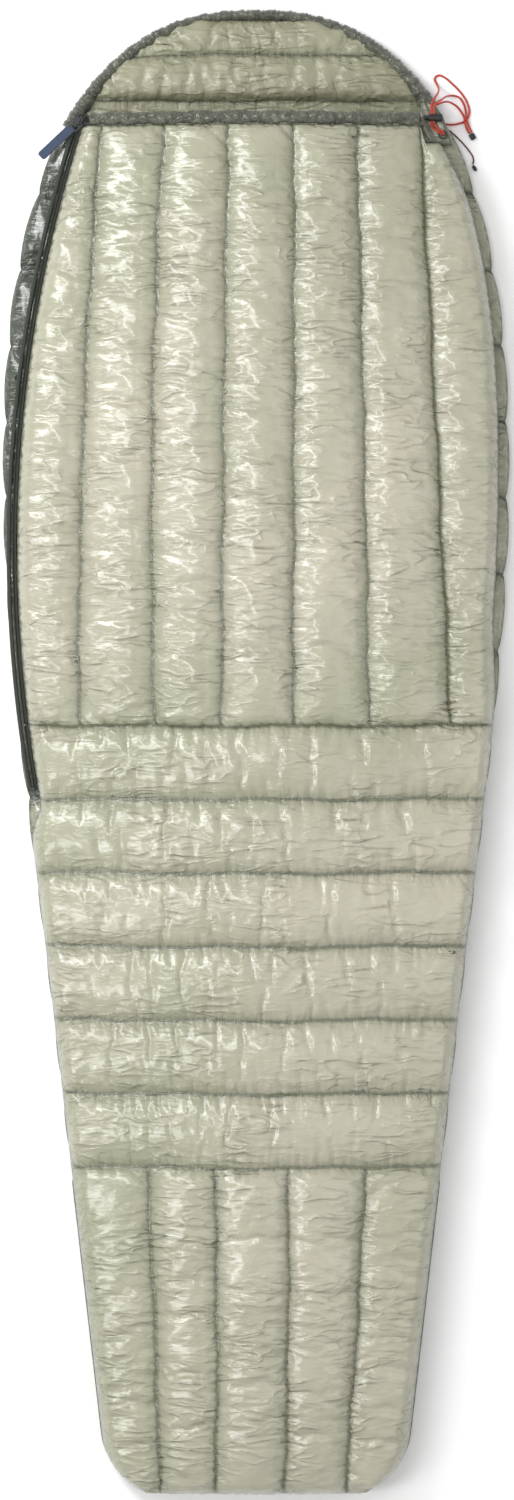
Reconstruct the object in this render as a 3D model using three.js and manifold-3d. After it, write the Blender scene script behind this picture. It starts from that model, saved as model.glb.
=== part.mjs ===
// Mummy sleeping bag with sewn-through down chambers, lying flat on its back.
// Millimetres. +Y points to the head, +X to the lying sleeper's left hand side, +Z up.
// The origin is on the floor under the middle of the bag.

import * as THREE from 'three';
import { mergeVertices } from 'three/addons/utils/BufferGeometryUtils.js';
import Module from 'manifold-3d';

const wasm = await Module();
wasm.setup();

// ---------- driving dimensions ----------

// plan of the whole bag
const bagLength = 2000;
const shoulderHalfWidth = 342;
const kneeHalfWidth = 277;
const footHalfWidth = 214;
const shoulderBelowNeck = 506;
const kneeAboveFoot = 666;
const footWidthAboveFoot = 120;
const footCornerRadius = 80;
const footCornerCut = 22;
const hoodRoundness = 2.45;
const kneeTaper = 0.115;

// lengths of the panels, from the foot end upwards; the chest takes what is left
const footPanelLength = 446;
const legChamberPitch = 98;
const legChamberCount = 6;
const crossSeamSag = 1.5;
const neckBandLength = 24;
const hoodLength = 124;
const upperHoodShare = 0.4;

// loft and fabric
const backLoft = 30;
const topLoft = 40;
const hoodLoft = 30;
const neckBandLoft = 20;
const seamThickness = 6;
const chamberGap = 0.8;
const layerGap = 1.2;
const seamNotch = 5;
const backChamfer = 24;
const topChamfer = 28;
const narrowChamfer = 12;

// the space inside, and how the top panel rises over it
const interiorGap = 42;
const sideWallRun = 20;
const sideWallRise = 28;
const mouthLowering = 0.45;
const mouthLoweringRun = 150;

// chest chambers: seam places as shares of the shoulder's half width, at the neck and at the legs
const chestChamberCount = 7;
const chestSeams = [
  { neck: -0.6, leg: -0.69, bow: -0.026 },
  { neck: -0.357, leg: -0.395, bow: -0.026 },
  { neck: -0.108, leg: -0.134, bow: -0.004 },
  { neck: 0.146, leg: 0.141, bow: 0.004 },
  { neck: 0.389, leg: 0.439, bow: 0.004 },
  { neck: 0.637, leg: 0.76, bow: 0.004 },
];
const backChestChamberCount = 8;
const rightSideInset = 16;
const sideInset = 3;
const sideInsetRun = 160;

// foot chambers: seam places as shares of the foot's half width
const footSeamBow = 0.012;
const footSeams = [
  { leg: -0.68, end: -0.6 },
  { leg: -0.257, end: -0.25 },
  { leg: 0.2, end: 0.175 },
  { leg: 0.68, end: 0.55 },
];

// hem channel across the mouth, hood rim, and the elastic cords inside them
const hemWidth = 16;
const hemHeight = 11;
const hemLeftInset = 10;
const hemSteps = 14;
const rimWidth = 18;
const rimHeight = 24;
const rimLift = 1;
const rimSteps = 30;
const hoodChamfer = 10;
const hoodCrownInset = 8;
const neckBandChamfer = 6;
const elasticDiameter = 2.8;
const channelClearance = 0.5;

// side zip: an arc through three points at these insets from the bag's outline
const zipTopInset = 18;
const zipShoulderInset = 16;
const zipBottomInset = 12;
const zipBelowChest = 88;
const zipTapeWidth = 5.6;
const zipTapeThickness = 0.8;
const coilWidth = 2.4;
const coilHeight = 2.6;
const zipFlange = 7.5;
const draftTubeWidth = 18;
const draftTubeHeight = 4.4;
const draftTubeInset = 9;
const draftTubeShort = 40;
const zipStopLength = 3;
const zipStep = 60;

// slider, ring and pull tag
const sliderLength = 14;
const sliderWidth = 9.6;
const sliderPlate = 1.2;
const sliderPost = 1.2;
const sliderClearance = 0.35;
const bridgeOpening = 2.1;
const bridgeBar = 1.3;
const bridgeWidth = 4;
const bridgeSink = 0.3;
const ringWire = 1.4;
const ringWidth = 16.4;
const ringLength = 13;
const tagLength = 58;
const tagWidth = 12.6;
const tagThickness = 1.6;
const tagTurn = 29;

// cord lock
const cordDiameter = 2.8;
const lockDiameter = 10;
const lockLength = 18;
const lockWall = 1.6;
const plungerDiameter = 6.4;
const plungerLength = 17;
const plungerTravel = 2.5;
const boreClearance = 0.3;
const lockSlotClearance = 0.5;
const cordSpacing = 0.4;
const springWall = 0.8;
const clipLength = 8;
const cordSides = 8;
const sideCordDiameter = 2;

// neck gusset, under the cord lock; the last chest chamber stops short of the mouth to leave room
const gussetHeight = 8;
const gussetOverhang = 6;
const gussetBelowHood = 4;
const cornerDrop = 24;

// eyelet on the gusset, and what the cords end in; they lie where the cords' routes lead
const eyeletInnerRadius = 4.3;
const eyeletOuterRadius = 6;
const eyeletHeight = 1.4;
const tipWidth = 7.6;
const tipHeight = 4.4;
const tipTurn = 28;
const tipOverlap = 0.7;
const beadRadius = 2.5;
const beadNeckRadius = 1.6;
const beadTailRadius = 1.4;
const beadLength = 8.4;
const beadTaper = 2.4;
const beadTurn = 30;

// ---------- places that follow from the sizes ----------

const footY = -bagLength / 2;
const hoodTopY = bagLength / 2;
const hoodHingeY = hoodTopY - hoodLength;
const neckY = hoodHingeY - neckBandLength;
const legTopY = footY + footPanelLength + legChamberPitch * legChamberCount;
const legBottomY = footY + footPanelLength;
const chestEndY = neckY - hemWidth - 1;
const shoulderY = hoodHingeY - shoulderBelowNeck;
const kneeY = footY + kneeAboveFoot;
const edgeZ = backLoft + seamThickness / 2 + layerGap;
const domeRise = backLoft + interiorGap + topLoft / 2 - edgeZ - sideWallRise;

// ---------- the bag's plan ----------

// a cubic that starts and ends with the two slopes given, in units of the value per unit of share
function ease(from, fromSlope, to, toSlope, share) {
  const squared = share * share;
  const cubed = squared * share;
  const startWeight = 2 * cubed - 3 * squared + 1;
  return (
    from * startWeight
    + fromSlope * (cubed - 2 * squared + share)
    + to * (1 - startWeight)
    + toSlope * (cubed - squared)
  );
}

// half the bag's width at a place along it: rounded hood, full shoulder, straight legs, round foot
function halfWidth(y) {
  if (y >= shoulderY) {
    const share = Math.min((y - shoulderY) / (hoodTopY - shoulderY), 1);
    return shoulderHalfWidth * (1 - share ** hoodRoundness) ** (1 / hoodRoundness);
  }
  if (y >= kneeY) {
    const run = shoulderY - kneeY;
    return ease(kneeHalfWidth, kneeTaper * run, shoulderHalfWidth, 0, (y - kneeY) / run);
  }
  const footWidthY = footY + footWidthAboveFoot;
  const straight = THREE.MathUtils.mapLinear(y, footWidthY, kneeY, footHalfWidth, kneeHalfWidth);
  const intoCorner = Math.max(footY + footCornerRadius - y, 0);
  const corner = Math.sqrt(Math.max(footCornerRadius ** 2 - intoCorner ** 2, 0));
  return straight - footCornerRadius + corner;
}

// the top panel is set in from the outline, most of all beside the chest
function topHalfWidth(y) {
  const share = THREE.MathUtils.smoothstep(y, legTopY, legTopY + sideInsetRun);
  return halfWidth(y) - THREE.MathUtils.lerp(sideInset, rightSideInset, share);
}

// circle of the zip, seen from above, through its top, the shoulder and its bottom
const zipBottomY = legTopY - zipBelowChest;
const zipTop = new THREE.Vector2(zipTopInset - halfWidth(neckY), neckY);
const zipShoulder = new THREE.Vector2(zipShoulderInset - halfWidth(shoulderY), shoulderY);
const zipBottom = new THREE.Vector2(zipBottomInset - halfWidth(zipBottomY), zipBottomY);

function circleThrough(a, b, c) {
  const ab = b.clone().sub(a);
  const ac = c.clone().sub(a);
  const twice = 2 * ab.cross(ac);
  const x = (ac.y * ab.lengthSq() - ab.y * ac.lengthSq()) / twice;
  const y = (ab.x * ac.lengthSq() - ac.x * ab.lengthSq()) / twice;
  return { centre: new THREE.Vector2(a.x + x, a.y + y), radius: Math.hypot(x, y) };
}

const zip = circleThrough(zipTop, zipShoulder, zipBottom);

function zipX(y) {
  return zip.centre.x - Math.sqrt(zip.radius ** 2 - (y - zip.centre.y) ** 2);
}

// the turn about the zip's centre that brings a point at this height along the bag onto the zip
function zipAngle(y) {
  return Math.PI - Math.asin((y - zip.centre.y) / zip.radius);
}

// left edge of the top panel: beside the zip along the first leg chamber and above it, then out to
// the bag's outline along the second
function topLeftX(y) {
  const outer = -topHalfWidth(y);
  const besideZip = Math.max(zipX(y) + zipFlange, outer);
  const low = legTopY - 2 * legChamberPitch;
  const high = legTopY - legChamberPitch;
  return THREE.MathUtils.lerp(outer, besideZip, THREE.MathUtils.smoothstep(y, low, high));
}

function seamX(seam, y) {
  const share = (neckY - y) / (neckY - legTopY);
  const straight = THREE.MathUtils.lerp(seam.neck, seam.leg, share);
  return shoulderHalfWidth * (straight + seam.bow * 4 * share * (1 - share));
}

function footSeamX(seam, y) {
  const share = (legBottomY - y) / footPanelLength;
  const straight = THREE.MathUtils.lerp(seam.leg, seam.end, share);
  return footHalfWidth * (straight + footSeamBow * 4 * share * (1 - share));
}

// ---------- heights ----------

// quarter circle rise, from 0 at the edge to 1 at the end of the side wall
function wallShare(distance) {
  const share = THREE.MathUtils.clamp(distance / sideWallRun, 0, 1);
  return Math.sqrt(1 - (1 - share) ** 2);
}

// height of the middle of the top panel's thickness
function topHeight(x, y) {
  const edgeX = x < 0 ? -topLeftX(y) : topHalfWidth(y);
  const toSide = edgeX - Math.abs(x);
  const toEnd = y - footY - sideInset;
  const across = Math.max(1 - (x / edgeX) ** 2, 0) ** 2;
  const along = wallShare((toEnd * sideWallRun) / (footCornerRadius * 2));
  const mouth = THREE.MathUtils.smoothstep(y, neckY - mouthLoweringRun, neckY) * mouthLowering;
  const dome = domeRise * across * along * (1 - mouth);
  return edgeZ + sideWallRise * wallShare(Math.min(toSide, toEnd)) + dome;
}

// ---------- geometry helpers ----------

const fabric = { roughness: 0.4, metalness: 0 };
const shellMaterial = new THREE.MeshStandardMaterial({ color: 0xc9c5ae, ...fabric });
const shadeMaterial = new THREE.MeshStandardMaterial({ color: 0x6b7466, ...fabric });
const liningMaterial = new THREE.MeshStandardMaterial({ color: 0xb3af95, ...fabric });
const trimMaterial = new THREE.MeshStandardMaterial({ color: 0x5c6156, ...fabric });
const zipMaterial = new THREE.MeshStandardMaterial({ color: 0x2b3028, roughness: 0.6 });
const metalMaterial = new THREE.MeshStandardMaterial({ color: 0x2f3236, roughness: 0.35, metalness: 1 });
const tagMaterial = new THREE.MeshStandardMaterial({ color: 0x44546a, roughness: 0.8 });
const cordMaterial = new THREE.MeshStandardMaterial({ color: 0xc7402a, roughness: 0.8 });
const darkCordMaterial = new THREE.MeshStandardMaterial({ color: 0x5b2426, roughness: 0.8 });
const plasticMaterial = new THREE.MeshStandardMaterial({ color: 0x151617, roughness: 0.5 });
const steelMaterial = new THREE.MeshStandardMaterial({ color: 0x9a9da0, roughness: 0.3, metalness: 1 });

const bag = new THREE.Group();

function add(name, geometry, material, parent = bag) {
  const mesh = new THREE.Mesh(geometry, material);
  mesh.name = name;
  parent.add(mesh);
  return mesh;
}

// a filled chamber of the flat back: thin at its seams, chamfered up to its full loft
function chamberGeometry(outline, loft, chamfer) {
  const geometry = new THREE.ExtrudeGeometry(new THREE.Shape(outline), {
    depth: seamThickness,
    bevelThickness: (loft - seamThickness) / 2,
    bevelSize: chamfer,
    bevelOffset: -chamfer,
    bevelSegments: 1,
  });
  return geometry.translate(0, 0, -seamThickness / 2);
}

// evenly spaced values from one to another, both included
function steps(from, to, count) {
  return Array.from({ length: count + 1 }, (_, i) => THREE.MathUtils.lerp(from, to, i / count));
}

// the share of a chamber's width or length at which a grid line lies: the outer lines on its
// seams, the next ones a chamfer further in, and the rest evenly spaced between those
function gridShare(share, count, length, chamfer) {
  const line = Math.round((share + 0.5) * count);
  if (line === 0 || line === count) {
    return line / count;
  }
  const inset = chamfer / length;
  return THREE.MathUtils.mapLinear(line, 1, count - 1, inset, 1 - inset);
}

// a filled chamber of the domed top, between two side curves x(y), with cells across and along it
function domedChamber(leftX, rightX, lowY, highY, chamfer, across, along, sag = () => 0) {
  const geometry = new THREE.BoxGeometry(1, 1, 1, across, along, 1);
  const position = geometry.attributes.position;
  for (let i = 0; i < position.count; i += 1) {
    const v = gridShare(position.getY(i), along, highY - lowY, chamfer);
    const y = THREE.MathUtils.lerp(lowY, highY, v);
    const left = leftX(y);
    const right = rightX(y);
    const u = gridShare(position.getX(i), across, right - left, chamfer);
    const x = THREE.MathUtils.lerp(left, right, u);
    const onSeam = u === 0 || u === 1 || v === 0 || v === 1;
    const half = (onSeam ? seamThickness : topLoft) / 2;
    const z = topHeight(x, y) + Math.sign(position.getZ(i)) * half;
    position.setXYZ(i, x, y - sag(2 * u - 1), z);
  }
  return geometry;
}

// an outline between two side curves x(y), listed anticlockwise
function strip(leftX, rightX, lowY, highY, count) {
  const ys = steps(lowY, highY, count);
  const right = ys.map((y) => new THREE.Vector2(rightX(y), y));
  const left = ys.map((y) => new THREE.Vector2(leftX(y), y)).reverse();
  return [...right, ...left];
}

// a closed tube of any section along a curve
function sweep(section, curve, stepCount) {
  return new THREE.ExtrudeGeometry(section, {
    steps: stepCount,
    bevelEnabled: false,
    extrudePath: curve,
  });
}

function ellipse(width, height, sides) {
  const shape = new THREE.Shape();
  shape.setFromPoints(
    steps(0, 2 * Math.PI, sides)
      .slice(0, sides)
      .map((turn) => new THREE.Vector2((Math.cos(turn) * width) / 2, (Math.sin(turn) * height) / 2)),
  );
  return shape;
}

// a round cord of flat-sided section whose corners lie on its true diameter
function cordGeometry(points, diameter, stepCount) {
  return sweep(ellipse(diameter, diameter, cordSides), new THREE.CatmullRomCurve3(points), stepCount);
}

function solid(geometry) {
  const bare = geometry.clone();
  bare.deleteAttribute('normal');
  bare.deleteAttribute('uv');
  const merged = mergeVertices(bare, 1e-4);
  return new wasm.Manifold(new wasm.Mesh({
    numProp: 3,
    vertProperties: merged.attributes.position.array,
    triVerts: new Uint32Array(merged.index.array),
  }));
}

function geometryOf(manifold) {
  const mesh = manifold.getMesh();
  const geometry = new THREE.BufferGeometry();
  geometry.setAttribute('position', new THREE.BufferAttribute(mesh.vertProperties, 3));
  geometry.setIndex(new THREE.BufferAttribute(mesh.triVerts, 1));
  return geometry;
}

// ---------- back panel ----------

// silhouette of one crosswise chamber: its sides pull in a little at the two seams
function crosswiseOutline(lowY, highY, halfWidthAt) {
  const y0 = lowY + chamberGap / 2;
  const y1 = highY - chamberGap / 2;
  const middle = (y0 + y1) / 2;
  const lowX = halfWidthAt(y0) - seamNotch;
  const highX = halfWidthAt(y1) - seamNotch;
  return [
    new THREE.Vector2(lowX, y0),
    new THREE.Vector2(halfWidthAt(middle), middle),
    new THREE.Vector2(highX, y1),
    new THREE.Vector2(-highX, y1),
    new THREE.Vector2(-halfWidthAt(middle), middle),
    new THREE.Vector2(-lowX, y0),
  ];
}

function backPanel() {
  const onFloor = backLoft / 2;
  const chestPitch = (neckY - legTopY) / backChestChamberCount;
  for (let i = 0; i < backChestChamberCount; i += 1) {
    const high = neckY - i * chestPitch;
    const outline = crosswiseOutline(high - chestPitch, high, halfWidth);
    const geometry = chamberGeometry(outline, backLoft, backChamfer).translate(0, 0, onFloor);
    add(`back_chest_chamber_${i + 1}`, geometry, shadeMaterial);
  }
  for (let i = 0; i < legChamberCount; i += 1) {
    const high = legTopY - i * legChamberPitch;
    const outline = crosswiseOutline(high - legChamberPitch, high, halfWidth);
    const geometry = chamberGeometry(outline, backLoft, backChamfer).translate(0, 0, onFloor);
    add(`back_leg_chamber_${i + 1}`, geometry, shadeMaterial);
  }
  const foot = chamberGeometry(footOutline(), backLoft, backChamfer).translate(0, 0, onFloor);
  add('back_foot_panel', foot, shadeMaterial);
}

// the foot's whole outline, with its corners rounded
function footOutline() {
  const high = legBottomY - chamberGap / 2;
  const cornerTop = footY + footCornerRadius;
  const sides = steps(high, cornerTop, 2).slice(0, 2);
  const corner = steps(0, Math.PI / 2, 4).map((turn) => cornerTop - footCornerRadius * Math.sin(turn));
  const right = [...sides, ...corner].map((y) => new THREE.Vector2(halfWidth(y), y)).reverse();
  const left = right.map((point) => new THREE.Vector2(-point.x, point.y)).reverse();
  return [...right, ...left];
}

// ---------- top panel ----------

function chestPanel() {
  for (let i = 0; i < chestChamberCount; i += 1) {
    const first = i === 0;
    const last = i === chestChamberCount - 1;
    const left = (y) => (first ? topLeftX(y) : seamX(chestSeams[i - 1], y) + chamberGap / 2);
    const right = (y) => (last ? topHalfWidth(y) : seamX(chestSeams[i], y) - chamberGap / 2);
    const highY = last ? chestEndY - cornerDrop : chestEndY;
    const chamfer = first || last ? narrowChamfer : topChamfer;
    const geometry = domedChamber(left, right, legTopY + chamberGap / 2, highY, chamfer, 3, 7);
    add(`chest_chamber_${i + 1}`, geometry, shellMaterial);
  }
}

function legPanel() {
  const sag = (share) => crossSeamSag * (1 - share * share);
  for (let i = 0; i < legChamberCount; i += 1) {
    const high = legTopY - i * legChamberPitch - chamberGap / 2;
    const low = high - legChamberPitch + chamberGap;
    const geometry = domedChamber(topLeftX, topHalfWidth, low, high, topChamfer, 9, 3, sag);
    add(`leg_chamber_${i + 1}`, geometry, shellMaterial);
  }
}

function footPanel() {
  const last = footSeams.length;
  const seamAt = (seam, y, side) => footSeamX(seam, y) + (side * chamberGap) / 2;
  for (let i = 0; i <= last; i += 1) {
    const outer = i === 0 || i === last;
    const left = (y) => (i === 0 ? -topHalfWidth(y) : seamAt(footSeams[i - 1], y, 1));
    const right = (y) => (i === last ? topHalfWidth(y) : seamAt(footSeams[i], y, -1));
    const lowY = footY + sideInset + (outer ? footCornerCut : 0);
    const highY = legBottomY - crossSeamSag - chamberGap / 2;
    const chamfer = outer ? narrowChamfer : topChamfer;
    const geometry = domedChamber(left, right, lowY, highY, chamfer, 3, 6);
    add(`foot_chamber_${i + 1}`, geometry, shellMaterial);
  }
}

// ---------- neck and hood ----------

function neckBand() {
  const low = neckY + chamberGap / 2;
  const high = hoodHingeY - chamberGap / 2;
  const outline = [
    new THREE.Vector2(halfWidth(low), low),
    new THREE.Vector2(halfWidth(high), high),
    new THREE.Vector2(-halfWidth(high), high),
    new THREE.Vector2(-halfWidth(low), low),
  ];
  const geometry = chamberGeometry(outline, neckBandLoft, neckBandChamfer);
  add('neck_band', geometry.translate(0, 0, neckBandLoft / 2), liningMaterial);
}

// unfilled fabric corner between the hood's end, the mouth and the side seam
function neckGusset() {
  const low = chestEndY - cornerDrop + chamberGap;
  const inner = seamX(chestSeams[chestChamberCount - 2], low) + chamberGap;
  const innerHigh = seamX(chestSeams[chestChamberCount - 2], neckY) + chamberGap;
  const shape = new THREE.Shape();
  shape.moveTo(inner, low);
  shape.lineTo(topHalfWidth(low) + gussetOverhang, low);
  shape.lineTo(halfWidth(neckY) - sideInset, neckY);
  shape.lineTo(halfWidth(hoodHingeY) - sideInset, hoodHingeY - gussetBelowHood);
  shape.lineTo(halfWidth(hoodHingeY) - rimWidth, hoodHingeY - gussetBelowHood);
  shape.lineTo(innerHigh, neckY);
  const geometry = new THREE.ExtrudeGeometry(shape, { depth: gussetHeight, bevelEnabled: false });
  add('neck_gusset', geometry.translate(0, 0, backLoft + layerGap), shadeMaterial);
}

// half the hood's width at a place along it, moved in from the bag's outline by an inset all round
function hoodHalfWidth(y, inset) {
  const share = Math.min((y - shoulderY) / (hoodTopY - shoulderY - inset), 1);
  return (shoulderHalfWidth - inset) * (1 - share ** hoodRoundness) ** (1 / hoodRoundness);
}

function hoodOutline(lowY, highY, count) {
  const inside = (y) => hoodHalfWidth(y, rimWidth + chamberGap);
  return strip((y) => -inside(y), inside, lowY, highY, count);
}

function hood() {
  const low = hoodHingeY + chamberGap / 2;
  const topInside = hoodTopY - rimWidth - chamberGap - hoodCrownInset;
  const seam = THREE.MathUtils.lerp(low, topInside, 1 - upperHoodShare);
  const lower = hoodOutline(low, seam - chamberGap / 2, 3);
  const upper = hoodOutline(seam + chamberGap / 2, topInside, 1);
  const onFloor = hoodLoft / 2;
  const lowerGeometry = chamberGeometry(lower, hoodLoft, hoodChamfer).translate(0, 0, onFloor);
  const upperGeometry = chamberGeometry(upper, hoodLoft, hoodChamfer).translate(0, 0, onFloor);
  add('hood_chamber_lower', lowerGeometry, liningMaterial);
  add('hood_chamber_upper', upperGeometry, liningMaterial);
  hoodRim();
}

// curve of the rim's middle, from the left end of the hood round to the right end
function rimCurve() {
  const inset = rimWidth / 2;
  const reach = hoodTopY - shoulderY - inset;
  const power = 2 / hoodRoundness;
  // the slanting end of the rim tips its inner edge down towards the neck band
  const low = hoodHingeY + chamberGap + rimWidth / 3;
  const end = Math.acos(((low - shoulderY) / reach) ** (1 / power));
  const points = steps(-end, end, 14).map((turn) => {
    const across = Math.sin(turn);
    return new THREE.Vector3(
      (shoulderHalfWidth - inset) * Math.sign(across) * Math.abs(across) ** power,
      shoulderY + reach * Math.cos(turn) ** power,
      rimHeight / 2 + rimLift,
    );
  });
  return new THREE.CatmullRomCurve3(points);
}

function hoodRim() {
  // along this curve a section's x runs up and down, and its y outwards
  const section = ellipse(rimHeight, rimWidth, 10);
  const bore = elasticDiameter + 2 * channelClearance;
  section.holes.push(ellipse(bore, bore, cordSides));
  add('hood_rim', sweep(section, rimCurve(), rimSteps), trimMaterial);
  const cord = sweep(ellipse(elasticDiameter, elasticDiameter, cordSides), rimCurve(), rimSteps);
  add('hood_cord', cord, darkCordMaterial);
}

// ---------- hem channel across the mouth ----------

function hemCurve() {
  const y = neckY - hemWidth / 2;
  const left = topLeftX(y) + hemLeftInset;
  const right = seamX(chestSeams[chestChamberCount - 2], y) - chamberGap;
  const points = steps(left, right, 8).map((x) => new THREE.Vector3(x, y, topHeight(x, y)));
  return new THREE.CatmullRomCurve3(points);
}

function hem() {
  // along this curve a section's x runs along the bag, and its y up and down
  const section = ellipse(hemWidth, hemHeight, 10);
  const bore = elasticDiameter + 2 * channelClearance;
  section.holes.push(ellipse(bore, bore, cordSides));
  add('hem_channel', sweep(section, hemCurve(), hemSteps), trimMaterial);
  const cord = sweep(ellipse(elasticDiameter, elasticDiameter, cordSides), hemCurve(), hemSteps);
  add('hem_cord', cord, darkCordMaterial);
}

// ---------- side zip ----------

const sliderBottom = backLoft + layerGap / 2;
const tapeBottom = sliderBottom + sliderPlate + sliderClearance;
const coilTop = tapeBottom + zipTapeThickness + coilHeight;
const sliderTop = coilTop + sliderClearance + sliderPlate;
const sliderY = neckY - sliderLength / 2 - 1;
const tapeTopY = neckY + zipStopLength + 1;

// the stretch of the zip's circle between two places along the bag, going towards the head
class ZipArc extends THREE.Curve {
  constructor(lowY, highY, z, inset = 0) {
    super();
    this.from = zipAngle(lowY);
    this.to = zipAngle(highY);
    this.z = z;
    this.radius = zip.radius - inset;
  }

  getPoint(t) {
    const turn = THREE.MathUtils.lerp(this.from, this.to, t);
    const x = zip.centre.x + this.radius * Math.cos(turn);
    return new THREE.Vector3(x, zip.centre.y + this.radius * Math.sin(turn), this.z);
  }
}

// a group that stands on the zip with its +Y along it towards the head
function onZip(y) {
  const group = new THREE.Group();
  group.position.set(zipX(y), y, 0);
  group.rotation.z = zipAngle(y) - Math.PI;
  bag.add(group);
  return group;
}

// half a zip: a tape with its coil on top, left of the arc for side 1 and right of it for side -1
function stringer(name, side, lowY, highY) {
  const inner = sliderPost / 2 + sliderClearance;
  const corners = [
    [0, inner],
    [0, inner + zipTapeWidth],
    [zipTapeThickness, inner + zipTapeWidth],
    [zipTapeThickness, inner + coilWidth],
    [zipTapeThickness + coilHeight, inner + coilWidth],
    [zipTapeThickness + coilHeight, inner],
  ];
  const section = new THREE.Shape(corners.map(([up, out]) => new THREE.Vector2(-up, side * out)));
  const stepCount = Math.max(Math.round((highY - lowY) / zipStep), 1);
  add(name, sweep(section, new ZipArc(lowY, highY, tapeBottom), stepCount), zipMaterial);
}

function stop(name, y, width) {
  const height = sliderPlate;
  const geometry = new THREE.BoxGeometry(width, zipStopLength, height);
  const mesh = add(name, geometry, metalMaterial, onZip(y));
  mesh.position.z = coilTop + sliderClearance + height / 2;
  return mesh;
}

function sideZip() {
  stringer('zip_stringer_back', 1, zipBottomY, tapeTopY);
  stringer('zip_stringer_flap', -1, legTopY + chamberGap, tapeTopY);
  stringer('zip_stringer_lower', -1, zipBottomY, legTopY - chamberGap);
  const topStop = stop('zip_top_stop', neckY + zipStopLength / 2, coilWidth);
  topStop.position.x = -(sliderPost + coilWidth) / 2 - sliderClearance;
  stop('zip_bottom_stop', zipBottomY + zipStopLength, 2 * coilWidth + sliderPost);
  const tubeInset = zipFlange + draftTubeWidth / 2 + draftTubeInset;
  const tubeZ = backLoft + layerGap / 2 + draftTubeHeight / 2;
  const tubeArc = new ZipArc(legTopY + chamberGap, chestEndY - draftTubeShort, tubeZ, tubeInset);
  add('draft_tube', sweep(ellipse(draftTubeHeight, draftTubeWidth, 8), tubeArc, 8), liningMaterial);
}

// two plates joined by a thin post between the coils, with a bridge on top for the ring
function sliderGeometry() {
  const half = sliderWidth / 2;
  const post = sliderPost / 2;
  const bottom = sliderBottom + sliderPlate;
  const top = sliderTop - sliderPlate;
  const beam = [
    [-half, sliderBottom],
    [half, sliderBottom],
    [half, bottom],
    [post, bottom],
    [post, top],
    [half, top],
    [half, sliderTop],
    [-half, sliderTop],
    [-half, top],
    [-post, top],
    [-post, bottom],
    [-half, bottom],
  ];
  const beamGeometry = new THREE.ExtrudeGeometry(
    new THREE.Shape(beam.map(([x, z]) => new THREE.Vector2(x, z))),
    { depth: sliderLength, bevelEnabled: false },
  );
  beamGeometry.translate(0, 0, -sliderLength / 2).rotateX(Math.PI / 2);
  const bridge = new THREE.Shape();
  const reach = sliderLength / 2 - bridgeBar;
  const height = bridgeOpening + bridgeBar;
  bridge.moveTo(-reach, -bridgeSink);
  bridge.lineTo(-reach, height - bridgeBar);
  bridge.lineTo(bridgeBar - reach, height);
  bridge.lineTo(reach - bridgeBar, height);
  bridge.lineTo(reach, height - bridgeBar);
  bridge.lineTo(reach, -bridgeSink);
  bridge.lineTo(reach - bridgeBar, -bridgeSink);
  bridge.lineTo(reach - bridgeBar, bridgeOpening);
  bridge.lineTo(bridgeBar - reach, bridgeOpening);
  bridge.lineTo(bridgeBar - reach, -bridgeSink);
  const bridgeGeometry = new THREE.ExtrudeGeometry(bridge, { depth: bridgeWidth, bevelEnabled: false });
  bridgeGeometry.translate(0, 0, -bridgeWidth / 2);
  bridgeGeometry.rotateX(Math.PI / 2).rotateZ(Math.PI / 2).translate(0, 0, sliderTop);
  return geometryOf(solid(beamGeometry).add(solid(bridgeGeometry)));
}

// flat wire loop whose near bar is the pull's hinge, at the origin; it reaches along -Y
function ringGeometry() {
  const shape = new THREE.Shape();
  const half = ringWidth / 2;
  const wire = ringWire / 2;
  shape.setFromPoints([
    new THREE.Vector2(-half, wire - ringLength),
    new THREE.Vector2(half, wire - ringLength),
    new THREE.Vector2(half, wire),
    new THREE.Vector2(-half, wire),
  ]);
  const hole = new THREE.Path();
  hole.setFromPoints([
    new THREE.Vector2(-half + ringWire, ringWire + wire - ringLength),
    new THREE.Vector2(half - ringWire, ringWire + wire - ringLength),
    new THREE.Vector2(half - ringWire, -wire),
    new THREE.Vector2(-half + ringWire, -wire),
  ]);
  shape.holes.push(hole);
  const geometry = new THREE.ExtrudeGeometry(shape, { depth: ringWire, bevelEnabled: false });
  return geometry.translate(0, 0, -ringWire / 2);
}

// fabric tag seen from its side: an eye round the ring's far bar, and the strip that follows it
function tagGeometry() {
  const eyeHole = ringWire / 2 + sliderClearance;
  const eye = eyeHole + tagThickness / 2;
  const shape = new THREE.Shape();
  const start = Math.asin(tagThickness / 2 / eye);
  shape.absarc(0, 0, eye, start, 2 * Math.PI - start);
  shape.lineTo(tagLength, -tagThickness / 2);
  shape.lineTo(tagLength, tagThickness / 2);
  const hole = new THREE.Path();
  hole.absarc(0, 0, eyeHole * Math.SQRT2, 0, 2 * Math.PI, true);
  shape.holes.push(hole);
  const geometry = new THREE.ExtrudeGeometry(shape, {
    depth: tagWidth,
    bevelEnabled: false,
    curveSegments: 10,
  });
  geometry.translate(0, 0, -tagWidth / 2).rotateX(Math.PI / 2).rotateZ(-Math.PI / 2);
  return geometry.translate(0, ringWire - ringLength, 0);
}

function sliderAndPull() {
  const group = onZip(sliderY);
  add('zip_slider', sliderGeometry(), metalMaterial, group);
  const pull = new THREE.Group();
  pull.position.z = sliderTop + sliderClearance + ringWire / 2;
  pull.rotation.z = -THREE.MathUtils.degToRad(tagTurn);
  group.add(pull);
  add('pull_ring', ringGeometry(), metalMaterial, pull);
  add('pull_tag', tagGeometry(), tagMaterial, pull);
}

// ---------- drawcords and cord lock at the right of the neck ----------

const point = (x, y, z) => new THREE.Vector3(x, y, z);

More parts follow.
